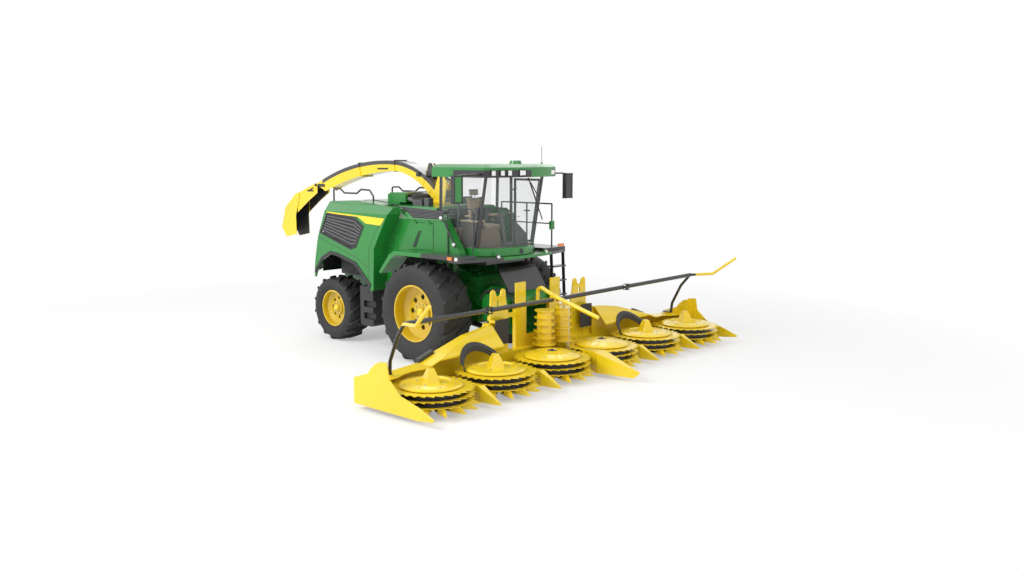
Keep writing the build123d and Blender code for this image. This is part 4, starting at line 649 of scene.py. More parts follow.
def lug(form, centre, r, reach, row, hand):
    """One bent bar of the tread, from its middle to a shoulder, and the faces it is made of."""
    bar = bmesh.ops.create_cube(form, size=1.0)["verts"]
    for place in LUG_CUTS:
        geom = [g for v in bar for g in (v, *v.link_edges, *v.link_faces)]
        cut = bmesh.ops.bisect_plane(form, geom=list(dict.fromkeys(geom)), plane_co=(place, 0, 0),
                                     plane_no=(1, 0, 0))["geom_cut"]
        bar += [v for v in cut if isinstance(v, bmesh.types.BMVert)]
    for v in bar:
        share = v.co.x + 0.5
        top = v.co.z > 0
        drop = 0.015 * share ** 2 + (0.05 if share > 0.95 else 0.0)
        radius = r - drop - (0.001 if top else LUG_TALL + LUG_ROOT)
        wide = r * (LUG_TOP if top else LUG_FOOT) * (0.75 + 0.5 * share)
        turn = row + (LUG_BEND * reach * (share ** 0.85) * hand + wide * v.co.y * 1.15) / r
        across = -0.012 + reach * share
        v.co = centre + Vector((math.cos(turn) * radius, hand * across, math.sin(turn) * radius))
    faces = list({f for v in bar for f in v.link_faces})
    bmesh.ops.recalc_face_normals(form, faces=faces)
    return faces


def tyre_form(x, y, r, width, rim_r, lugs):
    """A tyre with round shoulders and two rows of bent lugs."""
    form = bmesh.new()
    half = width / 2
    tread = r - LUG_TALL
    wall = tread - rim_r
    bead = half - 0.072
    side = [(0.0, tread), (half * 0.45, tread - 0.003), (half * 0.74, tread - 0.012),
            (half * 0.88, tread - 0.035), (half * 0.95, tread - 0.08), (half * 0.985, tread - wall * 0.4),
            (half * 0.985, tread - wall * 0.55), (half * 0.95, tread - wall * 0.72),
            (half * 0.9, rim_r + wall * 0.16), (half * 0.86, rim_r + 0.02), (bead, rim_r + 0.008),
            (bead, rim_r - 0.0245)]
    profile = [(a, b) for a, b in reversed(side)] + [(-a, b) for a, b in side[1:]]
    turned(form, profile + [profile[0]], (x, y, r), (0, 1, 0), 64)
    for row, hand in ((0.0, 1), (math.pi / lugs, -1)):
        faces = lug(form, spot(x, y, r), r, half * 0.93, row, hand)
        for k in range(1, lugs):
            made = bmesh.ops.duplicate(form, geom=faces)["geom"]
            verts = [v for v in made if isinstance(v, bmesh.types.BMVert)]
            bmesh.ops.rotate(form, cent=spot(x, y, r), verts=verts,
                             matrix=Matrix.Rotation(FULL_TURN * k / lugs, 3, "Y"))
    return form


class HARVESTER_OT_tyres(bpy.types.Operator):
    """Rounded tyres with bent lugs, in place of the plain ones"""
    bl_idname = "harvester.tyres"
    bl_label = "Tyres"

    def execute(self, context):
        for word, x, y, r, width, rim_r, lugs, _, _ in WHEELS:
            for side, hand in SIDES:
                form = tyre_form(x, hand * y, r, width, rim_r, lugs)
                made = piece(f"{word}_tyre_{side}", form, f"wheel_{word}_{side}", "tyre_rubber",
                             angle=32.0)
                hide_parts(f"tyre_{word}_{side}")
        return {"FINISHED"}


class HARVESTER_OT_wheel_fittings(bpy.types.Operator):
    """Hub bolts and hub caps on the rims"""
    bl_idname = "harvester.wheel_fittings"
    bl_label = "Wheel fittings"

    def execute(self, context):
        for word, x, y, r, _, _, _, ring, bolts in WHEELS:
            cap = ring * 0.5
            for side, hand in SIDES:
                body = f"wheel_{word}_{side}"
                out = (0, hand, 0)
                form = bmesh.new()
                bolt_ring(form, (x, hand * (y + 0.119), r), ring, bolts, 0.016, out, 0.016)
                piece(f"{word}_wheel_bolts_{side}", form, body, "yellow_paint", "bolt_zinc")
                form = bmesh.new()
                turned(form, [(0.0, cap), (0.018, cap), (0.032, cap * 0.86), (0.04, cap * 0.5),
                              (0.042, 0.0)], (x, hand * (y + 0.148), r), out, 32)
                piece(f"{word}_hub_cap_{side}", form, body, "yellow_paint")
        return {"FINISHED"}


# Hood and body, as (x, z) points of the side view
ARCH_TRIM = ((-3.5, 1.5), (-3.47, 1.59), (-3.245, 1.838), (-2.95, 1.98), (-2.72, 1.962), (-2.075, 1.808),
             (-1.615, 1.4), (-1.7, 1.22))
GRILLE = ((-3.03, 2.83), (-2.05, 2.77), (-1.79, 2.6), (-2.06, 2.16), (-2.24, 2.11), (-3.29, 2.4))
GRILLE_ENDS = (((-3.01, 2.81), (-3.25, 2.42)), ((-2.06, 2.75), (-2.23, 2.14)),
               ((-1.83, 2.6), (-2.08, 2.19)))
HOOD_GAPS = (((-1.66, 1.3), (-1.615, 2.17), (-1.36, 2.56), (-1.15, 2.79)),
             ((-3.4, 2.3), (-2.2, 1.98), (-1.63, 1.75)))
BODY_GAPS = (((-1.4, 2.785), (0.3, 2.785)), ((-0.8, 2.165), (0.7, 2.165)))
GAP_WIDE, GAP_DEEP = 0.008, 0.0045
UP = (0, 0, 1)


def hood_top(x):
    """Height of the hood's flat top at a place along it."""
    return 3.11 + (x + 2.4) * (0.0389 if x < -2.4 else -0.0735)


def arch_trim(side, hand):
    form = bmesh.new()
    strip(form, flank(hand, HOOD_Y - 0.002, ARCH_TRIM), 0.07, (0, hand, 0), 0.02)
    piece(f"arch_trim_{side}", form, "machine", "dark_plastic", bevel=0.006)


def grille(side, hand):
    """The side grille: its frame, two round markers and seven slats."""
    form = bmesh.new()
    strip(form, flank(hand, HOOD_Y - 0.004, GRILLE + GRILLE[:1]), 0.034, (0, hand, 0), 0.014)
    piece(f"grille_frame_{side}", form, "machine", "dark_plastic", bevel=0.004)
    form = bmesh.new()
    for place in flank(hand, HOOD_Y - 0.012, ((-2.99, 2.77), (-3.2, 2.42))):
        knob(form, place, 0.014, (0, hand, 0), 0.01, 16)
    piece(f"grille_markers_{side}", form, "machine", "lamp_glass", "clear_lens")
    form = bmesh.new()
    for k in range(7):
        t = 0.1 + 0.13 * k
        line = [(a[0] + (b[0] - a[0]) * t, a[1] + (b[1] - a[1]) * t) for a, b in GRILLE_ENDS]
        strip(form, flank(hand, HOOD_Y - 0.02, line), 0.024, (0, hand, 0.3), 0.026)
    piece(f"grille_slats_{side}", form, "machine", "dark_plastic", "grey_plastic", bevel=0.004)


def panel_gaps(side, hand):
    """Dark lines where the panels of the hood and body meet."""
    out = (0, hand, 0)
    form = bmesh.new()
    for line in HOOD_GAPS:
        strip(form, flank(hand, HOOD_Y - 0.003, line), GAP_WIDE, out, GAP_DEEP)
    strip(form, [(x, hand * 1.2, hood_top(x)) for x in (-3.2, -2.4, -1.06)], GAP_WIDE, UP, GAP_DEEP)
    for x0 in (-0.02, -1.23):
        strip(form, flank(hand, BODY_Y, ((x0, 2.2), (x0 + 0.01, 2.77))), GAP_WIDE - 0.001, out, GAP_DEEP)
    for line in BODY_GAPS:
        strip(form, flank(hand, BODY_Y, line), GAP_WIDE, out, GAP_DEEP)
    piece(f"panel_gaps_{side}", form, "machine", "green_paint", "dark_plastic")


def shoulder_band(side, hand):
    form = bmesh.new()
    strip(form, [(x, hand * y, hood_top(x) - 0.002) for x, y in
                 ((-2.74, 0.63), (-2.4, 0.65), (-1.7, 0.74), (-1.04, 1.03))], 0.05, UP, 0.008)
    piece(f"shoulder_band_{side}", form, "machine", "dark_plastic", bevel=0.002)


def shoulder_louvres(side, hand):
    """The dark louvre band on the body's leaning shoulder, and its slats."""
    out = Vector((0, hand * 0.638, 0.77))

    def lean(x, t, lift):
        """A place on the shoulder: t rises from its lower edge, lift stands out from it."""
        return Vector((x, hand * (1.1 - 0.29 * t), 2.79 + 0.24 * t)) + out * lift

    form = bmesh.new()
    outline = ((-1.32, 0.94), (0.1, 0.74), (0.2, 0.14), (-0.62, 0.12), (-0.95, 0.5))
    sheet(form, [lean(x, t, -0.003) for x, t in outline], out * 0.007)
    slats = bmesh.new()
    for k in range(6):
        t = 0.2 + 0.1 * k
        x0 = -0.66 - 0.66 * (t - 0.12) / 0.9 - (0.12 if t > 0.55 else 0.0)
        strip(slats, [lean(x0, t, 0.004), lean(0.16 - 0.08 * t, t - 0.02, 0.004)], 0.014, out, 0.016)
    piece(f"shoulder_louvres_{side}", form, "machine", "dark_plastic", bevel=0.002)
    piece(f"shoulder_slats_{side}", slats, "machine", "dark_plastic", "grey_plastic", bevel=0.002)


def service_door_handle():
    """The leaning slot of the service door's handle, as a dark sheet of painted shade, and its rims."""
    form = bmesh.new()
    sheet(form, flank(-1, 1.107, ((-0.63, 2.235), (-0.555, 2.235), (-0.38, 2.57), (-0.435, 2.57))),
          (0, 0.005, 0))
    piece("door_handle_slot_shade", form, "service_door", "green_paint", "dark_plastic")
    form = bmesh.new()
    for line in (((-0.645, 2.225), (-0.45, 2.58)), ((-0.54, 2.225), (-0.36, 2.58))):
        stick(form, *flank(-1, 1.105, line), 0.007)
    piece("door_handle_rims", form, "service_door", "green_paint")


class HARVESTER_OT_hood(bpy.types.Operator):
    """Arch trims, grilles, panel gaps, shoulder bands and louvres, and the door's handle"""
    bl_idname = "harvester.hood"
    bl_label = "Hood and body fittings"

    def execute(self, context):
        for side, hand in SIDES:
            for make in (arch_trim, grille, panel_gaps, shoulder_band, shoulder_louvres):
                make(side, hand)
        service_door_handle()
        return {"FINISHED"}


class HARVESTER_OT_engine_parts(bpy.types.Operator):
    """Filter, pipes and valve boxes in the open part of the engine hump"""
    bl_idname = "harvester.engine_parts"
    bl_label = "Engine parts"

    def execute(self, context):
        form = bmesh.new()
        turned(form, [(-0.5, 0.0), (-0.5, 0.075), (-0.47, 0.09), (-0.1, 0.09), (-0.09, 0.096),
                      (-0.07, 0.096), (-0.06, 0.09), (0.47, 0.09), (0.5, 0.075), (0.5, 0.0)],
               (-1.31, 0, 3.17), (0, 1, 0), 32)
        for y in (-0.42, 0.0, 0.42):
            slab(form, -1.39, -1.23, y - 0.02, y + 0.02, 3.04, 3.1)
        piece("air_filter", form, "machine", "dark_plastic", bevel=0.003)
        for side, hand in SIDES:
            form = bmesh.new()
            slab(form, -1.12, -0.84, hand * 0.47, hand * 0.66, 3.03, 3.16)
            slab(form, -0.8, -0.66, hand * 0.5, hand * 0.64, 3.03, 3.2)
            for k in range(5):
                slab(form, -1.1 + 0.055 * k, -1.08 + 0.055 * k, hand * 0.48, hand * 0.65, 3.15, 3.18)
            piece(f"valve_box_{side}", form, "machine", "engine_metal", bevel=0.006)
            pipe(f"charge_pipe_{side}",
                 [(-1.31, hand * 0.5, 3.17), (-1.31, hand * 0.62, 3.17), (-1.2, hand * 0.66, 3.16),
                  (-1.1, hand * 0.6, 3.1)], 0.035, "machine", "dark_plastic", "grey_plastic")
        return {"FINISHED"}


# Spout, with the deflectors' side walls as (x, z) points
INNER_WALL = ((-5.235, 3.36), (-5.95, 3.13), (-5.985, 2.69), (-5.5, 3.0), (-5.2, 3.17))
TIP_WALL = ((-5.995, 3.13), (-6.485, 2.77), (-6.66, 2.284), (-6.486, 2.056), (-6.05, 2.135),
            (-6.055, 2.6))
# Thickness of the dark sheets of painted shade inside the deflectors
SHADE_SHEET = 0.0015


def crosswise(form, half, start, end, along):
    """A sheet of painted shade across a deflector between two places of the side view."""
    (x0, z0), (x1, z1) = start, end
    sheet(form, [(x0, -half, z0), (x1, -half, z1), (x1, half, z1), (x0, half, z0)], along)


def deflector_linings():
    """Dark sheets of painted shade inside both deflectors."""
    form = bmesh.new()
    for y in (-0.171, 0.1695):
        sheet(form, flank(1, y, INNER_WALL), (0, SHADE_SHEET, 0))
    crosswise(form, 0.17, (-5.25, 3.369), (-5.94, 3.136), (0, 0, -SHADE_SHEET))
    piece("deflector_inner_shade_sheet", form, "deflector_inner", "yellow_paint", "dark_plastic")
    form = bmesh.new()
    for y in (-0.1875, 0.186):
        sheet(form, flank(1, y, TIP_WALL), (0, SHADE_SHEET, 0))
    crosswise(form, 0.186, (-6.0, 3.134), (-6.486, 2.772), (0, 0, -SHADE_SHEET))
    crosswise(form, 0.186, (-6.484, 2.768), (-6.66, 2.286), (SHADE_SHEET, 0, 0))
    piece("deflector_tip_shade_sheet", form, "deflector_tip", "yellow_paint", "dark_plastic")


def boom_brackets():
    """Hinge bosses, clamps and a bracket on both sides of the boom."""
    form = bmesh.new()
    for _, hand in SIDES:
        for r in (0.035, 0.02):
            knob(form, (-5.19, hand * 0.19, 3.372), r, (0, hand, 0), 0.03 - r * 0.5, 16)
        slab(form, -4.86, -5.12, hand * 0.166, hand * 0.18, 3.4, 3.33)
        slab(form, -1.53, -1.43, hand * 0.166, hand * 0.2, 3.63, 3.73)
        slab(form, -2.86, -2.5, hand * 0.166, hand * 0.178, 3.765, 3.8)
    piece("boom_brackets", form, "spout_boom", "black_steel", bevel=0.005)


def deflector_levers():
    form = bmesh.new()
    for _, hand in SIDES:
        slab(form, -5.55, -5.3, hand * 0.183, hand * 0.199, 3.24, 3.21)
        stick(form, (-5.3, hand * 0.2, 3.3), (-5.5, hand * 0.2, 3.22), 0.012)
    piece("deflector_levers", form, "deflector_inner", "black_steel", bevel=0.003)


def boom_gusset():
    """The upright plate over the spout's root, with two ribs."""
    form = bmesh.new()
    sheet(form, flank(1, 0.1, ((-1.52, 3.8), (-1.47, 3.87), (-0.88, 3.9), (-0.84, 3.33), (-0.96, 3.37),
                               (-1.2, 3.57))), (0, 0.012, 0))
    for x in (-1.3, -1.1):
        strip(form, [(x, 0.1, 3.58 - (x + 1.2) * 0.7), (x, 0.1, 3.88)], 0.02, (0, -1, 0), 0.02)
    piece("boom_gusset", form, "spout_boom", "yellow_paint", bevel=0.003)


class HARVESTER_OT_spout_fittings(bpy.types.Operator):
    """Dark sheets of painted shade in the deflectors, brackets, levers and the gusset of the spout"""
    bl_idname = "harvester.spout_fittings"
    bl_label = "Spout fittings"

    def execute(self, context):
        for make in (deflector_linings, boom_brackets, deflector_levers, boom_gusset):
            make()
        return {"FINISHED"}


# Cab
ROOF_LAMPS = ((-0.84, 0.11), (-0.64, 0.11), (-0.47, 0.11), (-0.14, 0.17), (0.9, 0.12))
LAMP_LOW, LAMP_TOP, LAMP_RIM = 3.686, 3.784, 0.012
WORK_LAMPS = ((0.6, -1.14, 2.36), (0.22, -1.12, 2.86))
WORK_LAMP_AIM = (0.7, -0.7, 0)


def roof_lamps():
    """Five lamps in the roof's brow, each a lens in a square rim."""
    form = bmesh.new()
    lens = bmesh.new()
    for y, width in ROOF_LAMPS:
        x = 1.5 - (y / 1.04) ** 2 * 0.17
        left, right = y - width / 2, y + width / 2
        for y0, y1, z0, z1 in ((left - LAMP_RIM, right + LAMP_RIM, LAMP_TOP, LAMP_TOP + LAMP_RIM),
                               (left - LAMP_RIM, right + LAMP_RIM, LAMP_LOW - LAMP_RIM, LAMP_LOW),
                               (left - LAMP_RIM, left, LAMP_LOW, LAMP_TOP),
                               (right, right + LAMP_RIM, LAMP_LOW, LAMP_TOP)):
            slab(form, x - 0.03, x + 0.014, y0, y1, z0, z1)
        slab(lens, x, x + 0.009, left, right, LAMP_LOW, LAMP_TOP)
    piece("roof_lamp_frames", form, "machine", "dark_plastic", bevel=0.003)
    piece("roof_lamp_lenses", lens, "machine", "lamp_glass", "clear_lens", bevel=0.004)


def mirror_faces():
    """The mirrors' glasses and the rims round them."""
    form = bmesh.new()
    for _, hand in SIDES:
        slab(form, 1.1475, 1.151, hand * 1.52, hand * 1.69, 3.22, 3.67)
    piece("mirror_glasses", form, "machine", "dark_plastic", "mirror_glass", bevel=0.001)
    form = bmesh.new()
    for _, hand in SIDES:
        for y0, y1, z0, z1 in ((1.49, 1.52, 3.185, 3.705), (1.69, 1.72, 3.185, 3.705),
                               (1.49, 1.72, 3.185, 3.215), (1.49, 1.72, 3.675, 3.705)):
            slab(form, 1.142, 1.238, hand * y0, hand * y1, z0, z1)
    piece("mirror_rims", form, "machine", "dark_plastic", bevel=0.008, steps=3)


def wiper():
    form = bmesh.new()
    stick(form, (1.43, 0.1, 3.63), (1.45, 0.1, 3.58), 0.022)
    stick(form, (1.452, 0.1, 3.59), (1.37, 0.52, 3.2), 0.011)
    stick(form, (1.445, 0.12, 3.55), (1.31, 0.66, 2.78), 0.008)
    strip(form, [(1.447, 0.14, 3.52), (1.316, 0.64, 2.8)], 0.02, (1, 0, 0), 0.014)
    piece("wiper", form, "machine", "black_steel")


def cab_lining():
    """Floor mat, padded box and desk, and the carpeted kick panel."""
    form = bmesh.new()
    slab(form, -0.13, 0.9, -0.78, 0.78, MAT_LOW, MAT_TOP)
    slab(form, 0.9, 1.16, -0.55, 0.55, MAT_LOW, MAT_TOP)
    piece("cab_floor_mat", form, "machine", "dark_plastic", "cab_mat", bevel=0.003)
    form = bmesh.new()
    slab(form, -0.12, 0.24, -0.74, -0.4, MAT_TOP, 2.62)
    slab(form, 0.28, 0.74, -0.66, -0.4, 2.762, 2.8)
    piece("cab_trim", form, "machine", "dark_plastic", "tan_plastic", bevel=0.02, steps=3)
    form = bmesh.new()
    sheet(form, [(0.86, -0.74, MAT_TOP), (0.86, -0.74, 2.64), (1.04, -0.36, 2.68), (1.06, -0.3, 2.5),
                 (1.06, -0.3, MAT_TOP)], (-0.03, 0, 0))
    piece("kick_panel", form, "machine", "dark_plastic", "cab_mat", bevel=0.008)


def front_console():
    """The panel and foot box before the driver, and the displays and knobs on the desk."""
    form = bmesh.new()
    sheet(form, [(1.16, 0.02, MAT_TOP), (1.13, 0.02, 2.82), (1.04, 0.5, 2.5), (1.06, 0.52, MAT_TOP)],
          (-0.06, 0, 0))
    slab(form, 0.82, 1.12, -0.16, 0.16, MAT_TOP, 2.33)
    piece("front_console", form, "machine", "dark_plastic", bevel=0.012)
    form = bmesh.new()
    slab(form, 0.655, 0.683, -0.61, -0.33, 2.81, 3.05)
    slab(form, 0.5, 0.6, -0.56, -0.5, 2.8, 2.93)
    for k in range(3):
        stick(form, (0.42 + 0.06 * k, -0.46, 2.8), (0.42 + 0.06 * k, -0.46, 2.84), 0.01)
    piece("displays", form, "machine", "dark_plastic", bevel=0.006)


def cab_door_handle():
    form = bmesh.new()
    slab(form, 0.62, 0.74, 0.908, 0.93, 2.92, 2.95)
    for x in (0.62, 0.73):
        slab(form, x - 0.01, x + 0.01, 0.88, 0.93, 2.92, 2.95)
    piece("door_handle", form, "cab_door", "green_paint", "dark_plastic", bevel=0.005)


def work_lamps():
    """The lamp bar on the cab's right side, with two round lamps."""
    form = bmesh.new()
    line = [(0.24, -1.11, 2.83), (0.33, -1.13, 2.79), (0.6, -1.13, 2.36), (0.62, -1.11, 2.3)]
    for a, b in zip(line, line[1:]):
        stick(form, a, b, 0.016)
    for z in (2.86, 2.92):
        stick(form, (0.2, -1.08, z), (0.52, -1.0, z), 0.012)
    piece("lamp_bar", form, "machine", "black_steel")
    for name, finish, profile in (
            ("work_lamp_lenses", "clear_lens", ((0.042, 0.0), (0.042, 0.034), (0.05, 0.03), (0.053, 0.0))),
            ("work_lamp_cases", "dark_plastic", ((0.0, 0.0), (0.0, 0.02), (0.015, 0.038), (0.044, 0.04),
                                                 (0.044, 0.033), (0.04, 0.0)))):
        form = bmesh.new()
        for place in WORK_LAMPS:
            turned(form, profile, place, WORK_LAMP_AIM, 24)
        piece(name, form, "machine", "lamp_glass", finish)


def cab_outside():
    """The right hand rail, the left box, two amber lamps and the bare disc of the skirt."""
    pipe("right_hand_rail", [(0.42, -1.12, 2.18), (0.42, -1.12, 2.7), (0.42, -1.12, 3.0),
                             (0.5, -1.1, 3.06), (0.9, -0.98, 3.06), (0.98, -0.96, 3.0),
                             (0.98, -0.96, 2.6), (0.98, -1.0, 2.18)], 0.012, "machine", "black_steel")
    form = bmesh.new()
    slab(form, 0.84, 0.9, 1.42, 1.54, 2.52, 2.7)
    piece("left_box", form, "machine", "green_paint", bevel=0.012)
    form = bmesh.new()
    slab(form, 1.186, 1.215, 1.3, 1.48, 2.19, 2.25)
    slab(form, 0.88, 1.0, -1.584, -1.56, 2.115, 2.165)
    piece("amber_lamps", form, "machine", "lamp_glass", "amber_lens", bevel=0.006)
    form = bmesh.new()
    turned(form, [(0.0, 0.0), (0.0, 0.052), (0.006, 0.052), (0.008, 0.044), (0.008, 0.0)],
           (1.342, 0.0, 2.2), (1, 0, 0), 32)
    piece("skirt_disc", form, "machine", "green_paint", "dark_plastic")


class HARVESTER_OT_cab_fittings(bpy.types.Operator):
    """Lamps, mirror faces, wiper, mat, consoles, door handle, hand rail and skirt disc"""
    bl_idname = "harvester.cab_fittings"
    bl_label = "Cab fittings"

    def execute(self, context):
        for make in (roof_lamps, mirror_faces, wiper, cab_lining, front_console, cab_door_handle,
                     work_lamps, cab_outside):
            make()
        return {"FINISHED"}


# Seat
PADS = (
    # name, centre, half length, half width and half thickness as vectors, furthest swelling
    ("seat_cushion", (0.34, 0, 2.63), (0.266, 0, 0), (0, 0.256, 0), (0, 0, 0.058), 0.009),
    ("seat_back", (0.0775, 0, 2.95), (-0.0475, 0, 0.285), (0, 0.236, 0), (0.05, 0, 0.0083), 0.009),
    ("seat_headrest", (0.012, 0, 3.322), (-0.01, 0, 0.064), (0, 0.125, 0), (0.038, 0, 0.006), 0.006),
)
PAD_TUCK, PAD_WAIST, PAD_EDGE = 0.12, 0.05, 0.66
PAD_VOXEL = 0.01
PAD_PRESSURE = 4.0
PAD_FRAMES = 20


def stuffed(form, centre, along, across, up):
    """A crowned closed block whose sides pull in between its corners, from three half-length vectors."""
    count = len(form.verts)
    made = bmesh.ops.create_cube(form, size=2.0)["verts"]
    edges = list({e for v in made for e in v.link_edges})
    bmesh.ops.subdivide_edges(form, edges=edges, cuts=9, use_grid_fill=True)
    form.verts.ensure_lookup_table()
    middle = spot(*centre)
    for vert in form.verts[count:]:
        u, w, t = vert.co
        pull = 1 - PAD_TUCK * t * t
        vert.co = (middle + Vector(along) * (u * (1 - PAD_WAIST * (1 - w * w)) * pull)
                   + Vector(across) * (w * (1 - PAD_WAIST * (1 - u * u)) * pull)
                   + Vector(up) * (t * (PAD_EDGE + (1 - PAD_EDGE) * (1 - u ** 4) * (1 - w ** 4))))


def swell(made, cap):
    """Inflates a pad by a cloth simulation, no point moving further than the cap."""
    scene = bpy.context.scene
    start = made.modifiers.new("start", "REMESH")
    start.mode = "VOXEL"
    start.voxel_size = PAD_VOXEL
    mesh = bpy.data.meshes.new_from_object(made.evaluated_get(bpy.context.evaluated_depsgraph_get()))
    made.modifiers.clear()
    made.data = mesh
    cloth = made.modifiers.new("air", "CLOTH")
    cloth.settings.use_pressure = True
    cloth.settings.uniform_pressure_force = PAD_PRESSURE
    cloth.settings.effector_weights.gravity = 0.0
    cloth.settings.quality = 4
    cloth.point_cache.frame_start = 1
    cloth.point_cache.frame_end = PAD_FRAMES
    for number in range(1, PAD_FRAMES + 1):
        scene.frame_set(number)
    blown = made.evaluated_get(bpy.context.evaluated_depsgraph_get()).to_mesh()
    places = [v.co.copy() for v in blown.vertices]
    made.modifiers.clear()
    scene.frame_set(1)
    for vert, place in zip(made.data.vertices, places):
        move = place - vert.co
        vert.co += move * (min(cap, move.length) / max(move.length, 1e-9))
    made.data.shade_smooth()


class HARVESTER_OT_seat(bpy.types.Operator):
    """The padded operator's seat on its sprung base"""
    bl_idname = "harvester.seat"
    bl_label = "Seat"

    def execute(self, context):
        for name, centre, along, across, up, cap in PADS:
            form = bmesh.new()
            stuffed(form, centre, along, across, up)
            made = piece(name, form, "machine", "seat_cloth", angle=180.0)
            swell(made, cap)
            round_off = made.modifiers.new("round", "SUBSURF")
            round_off.levels = 1
            round_off.render_levels = 1
            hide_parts("operator_seat")
        form = bmesh.new()
        for _, hand in SIDES:
            stuffed(form, (0.32, hand * 0.33, 2.856), (0.195, 0, 0), (0, 0.04, 0), (0, 0, 0.03))
        arms = piece("seat_arm_pads", form, "machine", "seat_cloth", "tan_plastic", angle=60.0)
        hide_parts("operator_seat")
        self.base()
        return {"FINISHED"}

    def base(self):
        """The bellows, the pan, the arm brackets and the head rest's two rods."""
        form = bmesh.new()
        rows = [(0.0, 0.0), (0.0, 0.15), (0.02, 0.16)]
        for k in range(4):
            rows += [(0.045 + 0.05 * k, 0.125), (0.07 + 0.05 * k, 0.155)]
        rows += [(0.255, 0.16), (0.28, 0.15), (0.28, 0.0)]
        turned(form, rows, (0.3, 0, 2.286), UP, 32)
        slab(form, 0.1, 0.54, -0.22, 0.22, 2.55, 2.572)
        for _, hand in SIDES:
            stick(form, (0.08, hand * 0.29, 2.62), (0.14, hand * 0.33, 2.83), 0.018)
            stick(form, (0.06, hand * 0.24, 2.6), (0.1, hand * 0.3, 2.62), 0.018)
        for y in (0.05, -0.05):
            stick(form, (0.0, y, 3.22), (0.0, y, 3.28), 0.008)
        base = piece("seat_base", form, "machine", "seat_cloth", "dark_plastic", bevel=0.003)
        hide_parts("operator_seat")


# Header
SEAL_R = 0.541
LIP_R = (0.546, 0.61)
HOSE_PITCH = 0.07


def rotor_bolts(place, side, y):
    """Two rings of bolts on a rotor's hat, and a cap on the inner rotors."""
    body = f"rotor_{place}_{side}"
    form = bmesh.new()
    bolt_ring(form, (ROTOR_X, y, 0.472), 0.43, 8, 0.013, UP, 0.01, 0.5)
    bolt_ring(form, (ROTOR_X, y, 0.47), 0.24, 4, 0.014, UP, 0.045 if place == "inner" else 0.014, 0.3)
    piece(f"rotor_bolts_{place}_{side}", form, body, "yellow_paint", "bolt_zinc")
    if place == "inner":
        form = bmesh.new()
        turned(form, [(0.0, 0.0), (0.0, 0.09), (0.012, 0.09), (0.02, 0.075), (0.024, 0.03),
                      (0.04, 0.026), (0.042, 0.0)], (ROTOR_X, y, 0.508), UP, 32)
        piece(f"rotor_cap_{side}", form, body, "yellow_paint", "dark_plastic")


def cowl_front(x):
    """Height of the cowl's sloping front."""
    return 1.0 - (x - 1.99) * 1.0816


def cowl_crest(y):
    """Height of the cowl's upper edge at a distance from the middle plane."""
    return 0.91 - (y - 2.24) * 0.288 if y > 2.24 else 0.985 - (y - 1.7) * 0.1389


def round_well(r, degrees):
    """A place on a circle round the middle rotor."""
    turn = math.radians(degrees)
    return ROTOR_X + r * math.cos(turn), 1.5 * ROTOR_PITCH - r * math.sin(turn)


def cowl_seal(side, hand):
    """The rubber edge of the cowl round the middle rotor: an upright band and a lip."""
    form = bmesh.new()
    pairs = []
    for k in range(19):
        x, y = round_well(SEAL_R, 118 + 124 * k / 18)
        top = min(cowl_front(x), cowl_crest(y))
        pairs.append([spot(x, hand * y, top + lift) for lift in (-0.07, 0.012)])
    ribbon(form, pairs, (-0.018, 0, 0))
    pairs = []
    for k in range(21):
        edge = [round_well(r, 126 + 108 * k / 20) for r in LIP_R]
        pairs.append([spot(x, hand * y, cowl_front(x) + 0.002) for x, y in edge])
    ribbon(form, pairs, (0.011, 0, 0.01))
    piece(f"cowl_seal_{side}", form, f"wing_{side}", "yellow_paint", "dark_plastic")


def wing_stops(side, hand):
    """The stop plate on the wing's back and its small pad."""
    form = bmesh.new()
    sheet(form, [(1.9, hand * 2.96, 0.69), (1.9, hand * 2.96, 0.765), (1.9, hand * 3.3, 0.65),
                 (1.9, hand * 3.3, 0.575)], (0.1, 0, 0))
    slab(form, 1.99, 2.2, hand * 4.05, hand * 4.15, 0.562, 0.585)
    piece(f"stop_plate_{side}", form, f"wing_{side}", "black_steel", bevel=0.006)


def cowl_bolts(side, hand):
    """Bolts along the wing's back and on its end guard."""
    form = bmesh.new()
    for y in (1.62, 1.95, 2.3, 2.65, 3.0, 3.4, 3.8, 4.2):
        knob(form, (1.93, hand * y, 0.47), 0.012, (-1, 0, 0), 0.01, 6)
    for place in flank(hand, 4.499, ((2.06, 0.4), (2.12, 0.6), (2.36, 0.76), (2.5, 0.5), (2.9, 0.28))):
        knob(form, place, 0.014, (0, hand, 0), 0.0005, 6)
    piece(f"cowl_bolts_{side}", form, f"wing_{side}", "yellow_paint", "bolt_zinc")


def feeder_hoses(side, hand):
    """Three hoses over the feeder house and the block that they end in."""
    rows = [hand * (0.5 + HOSE_PITCH * k) for k in range(3)]
    for k, y in enumerate(rows):
        pipe(f"feeder_hose_{side}_{k}",
             [(0.98, y + hand * 0.16, 1.3), (1.15, y + hand * 0.2, 1.5), (1.4, y + hand * 0.1, 1.5),
              (1.6, y, 1.42 - 0.03 * k), (1.74, y, 1.3), (1.75, y, 1.2)], 0.014, "feeder", "flap_rubber")
    form = bmesh.new()
    slab(form, 1.72, 1.765, hand * 0.46, hand * 0.7, 1.18, 1.26)
    for y in rows:
        stick(form, (1.75, y, 1.2), (1.75, y, 1.3), 0.02, 0.02, 6)
    piece(f"hose_block_{side}", form, "feeder", "black_steel", bevel=0.004)


def post_bolts():
    """Bolts on the front of the two posts."""
    form = bmesh.new()
    for _, hand in SIDES:
        for y, z in ((0.98, 0.6), (1.3, 0.6), (0.98, 0.9), (1.3, 0.9), (1.0, 1.3), (1.34, 1.3)):
            knob(form, (1.849, hand * y, z), 0.015, (1, 0, 0), 0.012, 6)
    piece("post_bolts", form, "feeder", "yellow_paint", "bolt_zinc")


